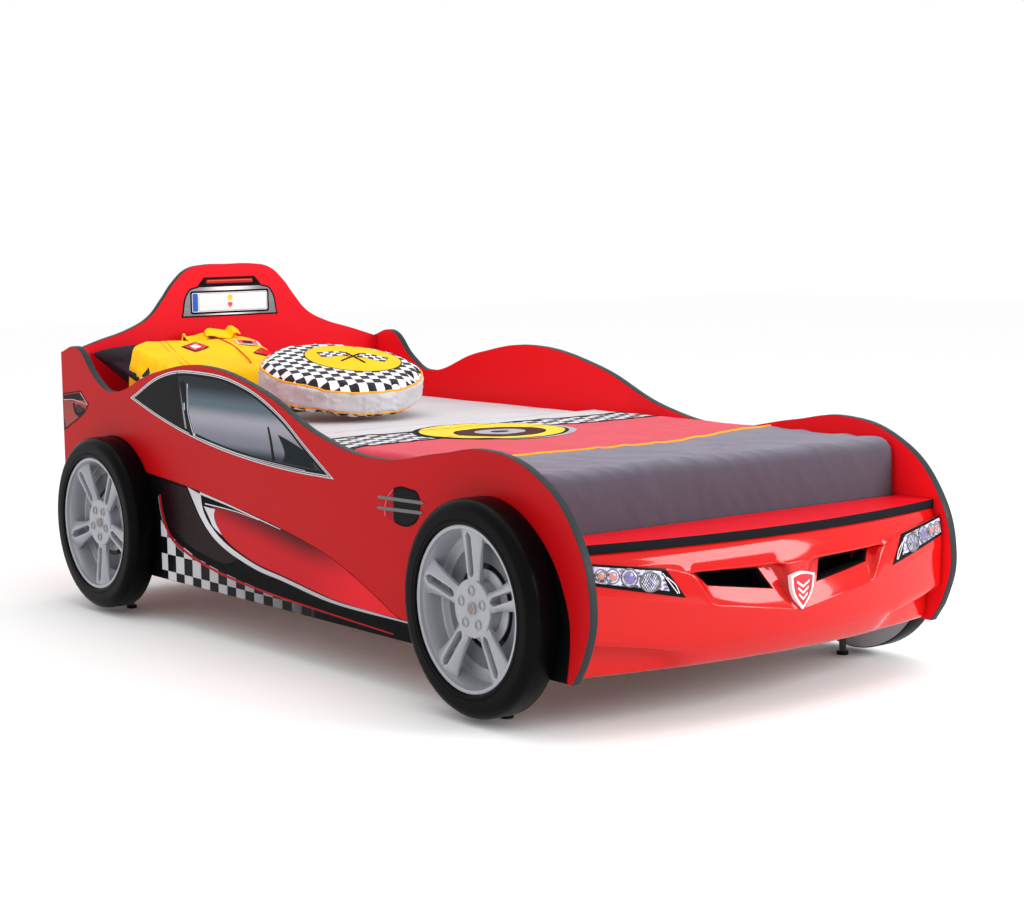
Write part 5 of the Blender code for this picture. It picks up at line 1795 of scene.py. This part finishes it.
def make_jacket(pillow):
    """Yellow jacket laid over the pillow: body, raised collar, seam, hem of squares, patches."""
    tree = surface_of(pillow)
    left_edge = smooth_line(((-0.402, 0.615), (-0.422, 0.690), (-0.432, 0.770), (-0.422, 0.835),
                             (-0.382, 0.900), (-0.316, 0.955), (-0.244, 1.002)), 8)
    right_edge = smooth_line(((0.010, 0.612), (0.020, 0.690), (0.024, 0.770), (0.028, 0.835),
                              (0.036, 0.900), (0.034, 0.955), (-0.005, 1.000)), 8)

    def resting(x, y, above):
        hit, *_ = tree.ray_cast(Vector((x, y, 1.2)), Vector((0, 0, -1)))
        if hit is None or hit.z < MATTRESS_HIGH.z:
            return Vector((x, y, MATTRESS_HIGH.z + 0.006 + above))
        return hit + Vector((0, 0, above))

    columns = 64
    rows, flats = [], []
    for (lx, ly), (rx, ry) in zip(left_edge, right_edge):
        row, flat = [], []
        for i in range(columns + 1):
            t = i / columns
            x, y = lx + (rx - lx) * t, ly + (ry - ly) * t
            crease = noise.noise(Vector((x * 14, y * 9, 2.0)))
            fine = noise.noise(Vector((x * 30 + y * 16, y * 12, 5.0)))
            row.append(resting(x, y, 0.0075 + 0.0030 * crease + 0.0012 * fine))
            flat.append((x, y))
        rows.append(row)
        flats.append(flat)
    shape = Shape()
    hem_columns, hem_rows = 9, 25
    shape.grid(rows, 0, flat=flats,
               mark_of=lambda i, j: 1 if i < hem_columns and j < hem_rows else 0)
    made = shape.piece("yellow_jacket", ("yellow_cloth", "hem_checks"), sharp=0, outward=False)
    faced(made, Vector((0.0, 0.0, 1.0)))
    made = subdivided(walled(made, 0.0026, 0.0), 1)
    settle(made, "yellow_cotton", "pillow_jacket")
    trims = [make_collar(resting), make_jacket_trim(resting)]
    return made


def make_collar(resting):
    """Stand-up collar: two folded leaves that meet over the front seam."""
    shape = Shape()
    leaves = (
        (((-0.200, 0.958), (-0.182, 0.978), (-0.156, 0.984), (-0.118, 0.962)), 0.030, -0.014),
        (((-0.130, 0.960), (-0.100, 0.980), (-0.070, 0.986), (-0.036, 0.970)), 0.042, 0.010),
    )
    for base, height, lean in leaves:
        line = smooth_line([(*point, 0.0) for point in base], 8)
        rows = []
        for k in range(15):
            t = k / 14
            rise = height * math.sin(min(t * 1.5, 1.0) * math.pi / 2)
            back = -0.034 * max(0.0, t - 0.50) / 0.50
            fold = -0.024 * max(0.0, t - 0.55) / 0.45
            row = []
            for i, (x, y, _) in enumerate(line):
                share = i / (len(line) - 1)
                crown = math.sin(math.pi * min(max(share, 0.04), 0.96)) ** 0.5
                ground = resting(x, y, 0.006)
                row.append(Vector((x + lean * t * (share - 0.4) * 1.5, y + back * crown,
                                   ground.z + (rise + fold) * (0.35 + 0.65 * crown))))
            rows.append(row)
        shape.grid(rows)
    made = shape.piece("jacket_collar", ("yellow_cloth",), sharp=0, merge=0, outward=False)
    made = subdivided(walled(made, 0.0030, 0.0), 1)
    return settle(made, "yellow_cotton")


def make_jacket_trim(resting):
    """Red front seam, double stitching and two plain patches."""
    shape = Shape()
    seam = smooth_line(((-0.124, 0.985, 0), (-0.098, 0.945, 0), (-0.092, 0.880, 0),
                        (-0.104, 0.800, 0), (-0.120, 0.750, 0)), 10)
    shape.rope([resting(x, y, 0.0112) for x, y, _ in seam], 0.0016, 0, False)
    for shift in (0.0, 0.016):
        line = smooth_line(((-0.262 + shift, 0.965, 0), (-0.276 + shift, 0.900, 0),
                            (-0.290 + shift, 0.830, 0), (-0.300 + shift, 0.760, 0)), 22)
        for k in range(0, len(line) - 1, 2):
            dash = [resting(line[k + n][0], line[k + n][1], 0.0103) for n in (0, 1)]
            shape.rope(dash, 0.0006, 1, False, 6)
    for centre, turn, marks in (((-0.196, 0.895), 0.45, (3, 0, 2)),
                                ((-0.036, 0.910), -0.35, (2, 0, 3)),
                                ((-0.030, 0.830), 0.70, (3, 0, 0))):
        for grow, mark, above in ((1.0, marks[0], 0.0112), (0.86, marks[1], 0.0117),
                                  (0.42, marks[2], 0.0122)):
            rows = [[resting(*spun(centre, (i / 12 - 0.5) * 0.060 * grow,
                                   (j / 8 - 0.5) * 0.044 * grow, turn), above)
                     for i in range(13)] for j in range(9)]
            shape.skin(rows, Vector((0.0, 0.0, -0.0004)), mark)
    made = shape.piece("jacket_trim", ("badge_red", "red_print", "white_print", "print_black"),
                       merge=0.00001)
    return settle(made, "yellow_cotton")


def cushion_pose():
    """Where the round cushion lies: centre on the axis, radius, height and tilt."""
    tilt, height = math.radians(12.5), 0.082
    radius = (CUSHION_HIGH.x - CUSHION_LOW.x) / 2
    middle = (CUSHION_LOW + CUSHION_HIGH) / 2 + Vector((-0.008, 0.010, 0.0))
    middle.z = MATTRESS_HIGH.z + 0.004 + radius * math.sin(tilt) + height / 2 * math.cos(tilt)
    return middle, radius, height, Euler((tilt, math.radians(-1.5), 0.0)).to_matrix()


def make_cushion():
    """Round box cushion: swollen drum, corded seams, printed top with squares and flags."""
    middle, radius, height, turn = cushion_pose()
    start_radius, start_height = radius - 0.012, height - 0.030
    steps, profile = 72, []
    for z, r in ((-0.5, 0.0), (-0.5, 0.3), (-0.5, 0.6), (-0.5, 0.85), (-0.5, 1.0), (-0.25, 1.02),
                 (0.0, 1.025), (0.25, 1.02), (0.5, 1.0), (0.5, 0.85), (0.5, 0.6), (0.5, 0.3),
                 (0.5, 0.0)):
        profile.append((z * start_height, r * start_radius))
    shape = Shape()
    rows = [[(r * math.cos(a), r * math.sin(a), z)
             for a in around(steps)] for z, r in profile]
    shape.grid(rows, 0, True)
    made = shape.piece("round_pad", ("cushion_side",))
    made = swollen(made, 0.005, 4.0, sizes().cushion_swell)
    fitted(made, (-radius, -radius, -height / 2), (radius, radius, height / 2))

    def seam_height(angle, side):
        dip = 0.0035 * noise.noise(Vector((math.cos(angle) * 3, math.sin(angle) * 3, side * 5.0)))
        return side * (height * 0.31 + dip)

    for vertex in made.data.vertices:
        spot = vertex.co
        reach = math.hypot(spot.x, spot.y)
        angle = math.atan2(spot.y, spot.x)
        edge = max(0.0, min(1.0, (reach - 0.6 * radius) / (0.4 * radius)))
        pinch = 0.0
        for side in (-1, 1):
            away = (spot.z - seam_height(angle, side)) / 0.008
            pinch += math.exp(-away * away)
        gather = noise.noise(Vector((math.cos(angle) * 12, math.sin(angle) * 12, spot.z * 12)))
        boxy = min(1.0, abs(spot.z) / (0.30 * height)) ** 2
        scale = 1 - edge * (0.014 * pinch - 0.008 * gather - 0.060 * boxy)
        crown = 0.008 * (1 - (reach / radius) ** 2) if spot.z > 0 else 0.0
        vertex.co = (spot.x * scale, spot.y * scale, spot.z + crown)
    made = subdivided(made, 1)
    settle_cushion(made, middle, turn)
    tree = surface_of(made)
    floor_z = MATTRESS_HIGH.z + 0.0015

    def outside(angle, local_z):
        origin = middle + turn @ Vector((0, 0, local_z))
        way = turn @ Vector((math.cos(angle), math.sin(angle), 0))
        hit, *_ = tree.ray_cast(origin, way)
        return hit if hit else origin + way * radius

    def on_top(x, y, above):
        origin = middle + turn @ Vector((x, y, 0.3))
        hit, *_ = tree.ray_cast(origin, turn @ Vector((0, 0, -1)))
        return (hit if hit else origin - turn @ Vector((0, 0, 0.26))) + turn @ Vector((0, 0, above))

    cords = Shape()
    for side in (-1, 1):
        path = []
        for a in around(144):
            spot = outside(a, seam_height(a, side))
            path.append(Vector((spot.x, spot.y, max(spot.z, floor_z + 0.0012))))
        cords.rope(path, sizes().piping_radius)
    piping = cords.piece("cushion_piping", ("piping_cord",), merge=0.00001)
    print_top(on_top)
    paint_cushion(made, middle, turn, seam_height)
    settle(made, "cushion_cotton", "round_cushion")
    settle(piping, "cushion_cotton")
    return made


def settle_cushion(piece, middle, turn):
    """Put the cushion in its place and flatten it where it rests on the bed."""
    floor_z = MATTRESS_HIGH.z + 0.0015
    for vertex in piece.data.vertices:
        spot = middle + turn @ vertex.co
        spot.z = max(spot.z, floor_z)
        vertex.co = spot
    piece.data.update()


def paint_cushion(piece, middle, turn, seam_height):
    """Squares on the faces over and under the corded seams, plain cloth between them."""
    piece.data.materials.append(finish("cushion_checks"))
    back = turn.transposed()
    for face in piece.data.polygons:
        local = back @ (face.center - middle)
        angle = math.atan2(local.y, local.x)
        top = local.z > seam_height(angle, 1) or local.z < seam_height(angle, -1)
        face.material_index = 1 if top else 0


def print_top(on_top):
    """Yellow middle with a dark outline and two crossed flags of squares."""
    shape = Shape()
    under = Vector((0.0, 0.0, -0.0004))
    centre, reach, turn = (0.040, 0.016), 0.116, -0.55

    def placed(x, y, above):
        return on_top(*spun(centre, x, y, turn), above)

    steps, rings = 96, 14
    for grow, mark, above in ((0.003, 1, 0.0006), (0.0, 0, 0.0010)):
        rows = []
        for j in range(rings + 1):
            share = (reach + grow) * j / rings
            rows.append([placed(share * math.cos(a), share * math.sin(a), above)
                         for a in around(steps)])
        shape.skin(rows, under, mark, True)
    for side in (-1, 1):
        line = [placed(side * (-0.028 + 0.044 * k / 12), -0.046 + 0.080 * k / 12, 0.0018)
                for k in range(13)]
        shape.rope(line, 0.0022, 1, False, 8)
        for grow, level in ((0.0022, 0.0014), (0.0, 0.0018)):
            rows = []
            for j in range(7):
                row = []
                for i in range(11):
                    t, s = i / 10, j / 6
                    wave = 0.006 * math.sin(t * 5.5)
                    x = side * (0.010 + 0.012 * s - grow + t * (0.064 + 2 * grow))
                    y = 0.002 + (0.040 + 2 * grow) * s - grow - 0.014 * t + wave
                    row.append(placed(x, y, level))
                rows.append(row)
            shape.skin(rows, under, 1 if grow else 2, mark_of=None if grow else
                       lambda i, j: 2 if (i // 2 + j // 2) % 2 else 1)
    made = shape.piece("cushion_print", ("yellow_cloth", "print_black", "white_print"),
                       merge=0.00001)
    return settle(made, "cushion_cotton")


# ---- stage --------------------------------------------------------------------------------------
CAMERA_PLACE = Vector((-2.8575, -3.9656, 0.9523))
CAMERA_YAW, CAMERA_PITCH, CAMERA_ROLL = 0.6440, 0.1142, -0.0154
CAMERA_SENSOR, CAMERA_LENS, CAMERA_SHIFT = 36.0, 76.208, (0.0026, -0.0005)
SOFTBOXES = (                # name, place, target, size in metres, power in watts
    ("top_softbox", (0.2, -0.4, 3.6), (0.0, 0.0, 0.3), (3.4, 4.2), 42),
    ("front_softbox", (2.2, -4.2, 2.0), (0.1, -0.6, 0.3), (2.2, 1.6), 150),
    ("side_softbox", (-4.4, -1.2, 2.3), (-0.3, 0.0, 0.3), (1.6, 2.4), 7),
)
FLOOR_HALF, FLOOR_Z = 14, -0.0005


def make_camera():
    forward = Vector((math.sin(CAMERA_YAW) * math.cos(CAMERA_PITCH),
                      math.cos(CAMERA_YAW) * math.cos(CAMERA_PITCH), -math.sin(CAMERA_PITCH)))
    level = Vector((math.cos(CAMERA_YAW), -math.sin(CAMERA_YAW), 0.0))
    rise = level.cross(forward)
    right = level * math.cos(CAMERA_ROLL) + rise * math.sin(CAMERA_ROLL)
    up = rise * math.cos(CAMERA_ROLL) - level * math.sin(CAMERA_ROLL)
    data = bpy.data.cameras.new("studio_camera")
    data.sensor_width, data.lens = CAMERA_SENSOR, CAMERA_LENS
    data.shift_x, data.shift_y = CAMERA_SHIFT
    made = bpy.data.objects.new("studio_camera", data)
    bpy.context.scene.collection.objects.link(made)
    turn = Matrix((right, up, -forward)).transposed()
    made.matrix_world = Matrix.Translation(CAMERA_PLACE) @ turn.to_4x4()
    bpy.context.scene.camera = made


def softbox(name, place, target, size, power):
    data = bpy.data.lights.new(name, "AREA")
    data.shape, data.size, data.size_y = "RECTANGLE", size[0], size[1]
    data.energy = power
    made = bpy.data.objects.new(name, data)
    bpy.context.scene.collection.objects.link(made)
    made.location = place
    made.rotation_euler = (Vector(target) - Vector(place)).to_track_quat("-Z", "Y").to_euler()


def make_stage():
    make_camera()
    shape = Shape()
    shape.fan([(x * FLOOR_HALF, y * FLOOR_HALF, FLOOR_Z)
               for x, y in ((-1, -1), (1, -1), (1, 1), (-1, 1))])
    floor = shape.piece("studio_floor", ("pale_floor",), merge=0, outward=False)
    for each in SOFTBOXES:
        softbox(*each)
    world = bpy.data.worlds.new("studio_air")
    world.use_nodes = True
    background = world.node_tree.nodes["Background"].inputs
    background[0].default_value, background[1].default_value = (1.0, 1.0, 1.0, 1.0), 1.0
    bpy.context.scene.world = world
    bpy.context.scene.view_settings.view_transform = "Standard"


# ---- operators and panel ------------------------------------------------------------------------
class RACEBED_OT_stage(bpy.types.Operator):
    """Floor, soft lights and camera"""
    bl_idname = "race_bed.stage"
    bl_label = "Stage"

    def execute(self, context):
        make_stage()
        return {"FINISHED"}


class RACEBED_OT_boards(bpy.types.Operator):
    """Side boards, headboard, footboard and shelf with their edge bands"""
    bl_idname = "race_bed.boards"
    bl_label = "Boards"

    def execute(self, context):
        make_boards()
        return {"FINISHED"}


class RACEBED_OT_films(bpy.types.Operator):
    """Printed films on the side boards and the headboard"""
    bl_idname = "race_bed.films"
    bl_label = "Printed films"

    def execute(self, context):
        make_windows()
        make_skirts()
        make_vents()
        make_tail_lights()
        make_plate()
        return {"FINISHED"}


class RACEBED_OT_nose(bpy.types.Operator):
    """Bumper moulding with its intakes, lamps and badge"""
    bl_idname = "race_bed.nose"
    bl_label = "Nose"

    def execute(self, context):
        bumper = make_bumper()
        make_lamps(bumper)
        make_badge(bumper)
        make_intakes(bumper)
        return {"FINISHED"}


class RACEBED_OT_wheels(bpy.types.Operator):
    """Four wheels: tyre shell, dished rim, split spokes, bolts and back disc"""
    bl_idname = "race_bed.wheels"
    bl_label = "Wheels"

    def execute(self, context):
        for tag in WHEELS:
            make_wheel(tag)
        return {"FINISHED"}


class RACEBED_OT_base(bpy.types.Operator):
    """Screw feet, leg blocks, rails and slats"""
    bl_idname = "race_bed.base"
    bl_label = "Feet and slats"

    def execute(self, context):
        for tag in WHEELS:
            make_foot(tag)
        make_slat_base()
        return {"FINISHED"}


class RACEBED_OT_bed(bpy.types.Operator):
    """Mattress in its sheet, and the bedspread"""
    bl_idname = "race_bed.bed"
    bl_label = "Mattress and bedspread"

    def execute(self, context):
        make_mattress()
        make_spread()
        return {"FINISHED"}


class RACEBED_OT_pillow(bpy.types.Operator):
    """Pillow with the jacket over it"""
    bl_idname = "race_bed.pillow"
    bl_label = "Pillow and jacket"

    def execute(self, context):
        make_jacket(make_pillow())
        return {"FINISHED"}


class RACEBED_OT_cushion(bpy.types.Operator):
    """Round cushion with corded seams"""
    bl_idname = "race_bed.cushion"
    bl_label = "Round cushion"

    def execute(self, context):
        make_cushion()
        return {"FINISHED"}


STEPS = (RACEBED_OT_stage, RACEBED_OT_boards, RACEBED_OT_films, RACEBED_OT_nose, RACEBED_OT_wheels,
         RACEBED_OT_base, RACEBED_OT_bed, RACEBED_OT_pillow, RACEBED_OT_cushion)


class RACEBED_PT_panel(bpy.types.Panel):
    """Lists the bed's pieces, sizes and colours"""
    bl_idname = "RACEBED_PT_panel"
    bl_label = "Race-car bed"
    bl_space_type = "VIEW_3D"
    bl_region_type = "UI"
    bl_category = "Race bed"

    def draw(self, context):
        for step in STEPS:
            self.layout.operator(step.bl_idname)
        for group in (context.scene.race_bed_sizes, context.scene.race_bed_colours):
            box = self.layout.box()
            for name in group.bl_rna.properties.keys()[2:]:
                box.prop(group, name)


CLASSES = (RaceBedSizes, RaceBedColours, *STEPS, RACEBED_PT_panel)


def register():
    for each in CLASSES:
        bpy.utils.register_class(each)
    bpy.types.Scene.race_bed_sizes = PointerProperty(type=RaceBedSizes)
    bpy.types.Scene.race_bed_colours = PointerProperty(type=RaceBedColours)


def unregister():
    del bpy.types.Scene.race_bed_colours
    del bpy.types.Scene.race_bed_sizes
    for each in reversed(CLASSES):
        bpy.utils.unregister_class(each)


def main():
    register()
    for name in ("Cube", "Light", "Camera"):
        left_over = bpy.data.objects.get(name)
        if left_over:
            bpy.data.objects.remove(left_over)
    for step in STEPS:
        getattr(bpy.ops.race_bed, step.bl_idname.split(".")[1])()


if __name__ == "__main__":
    main()
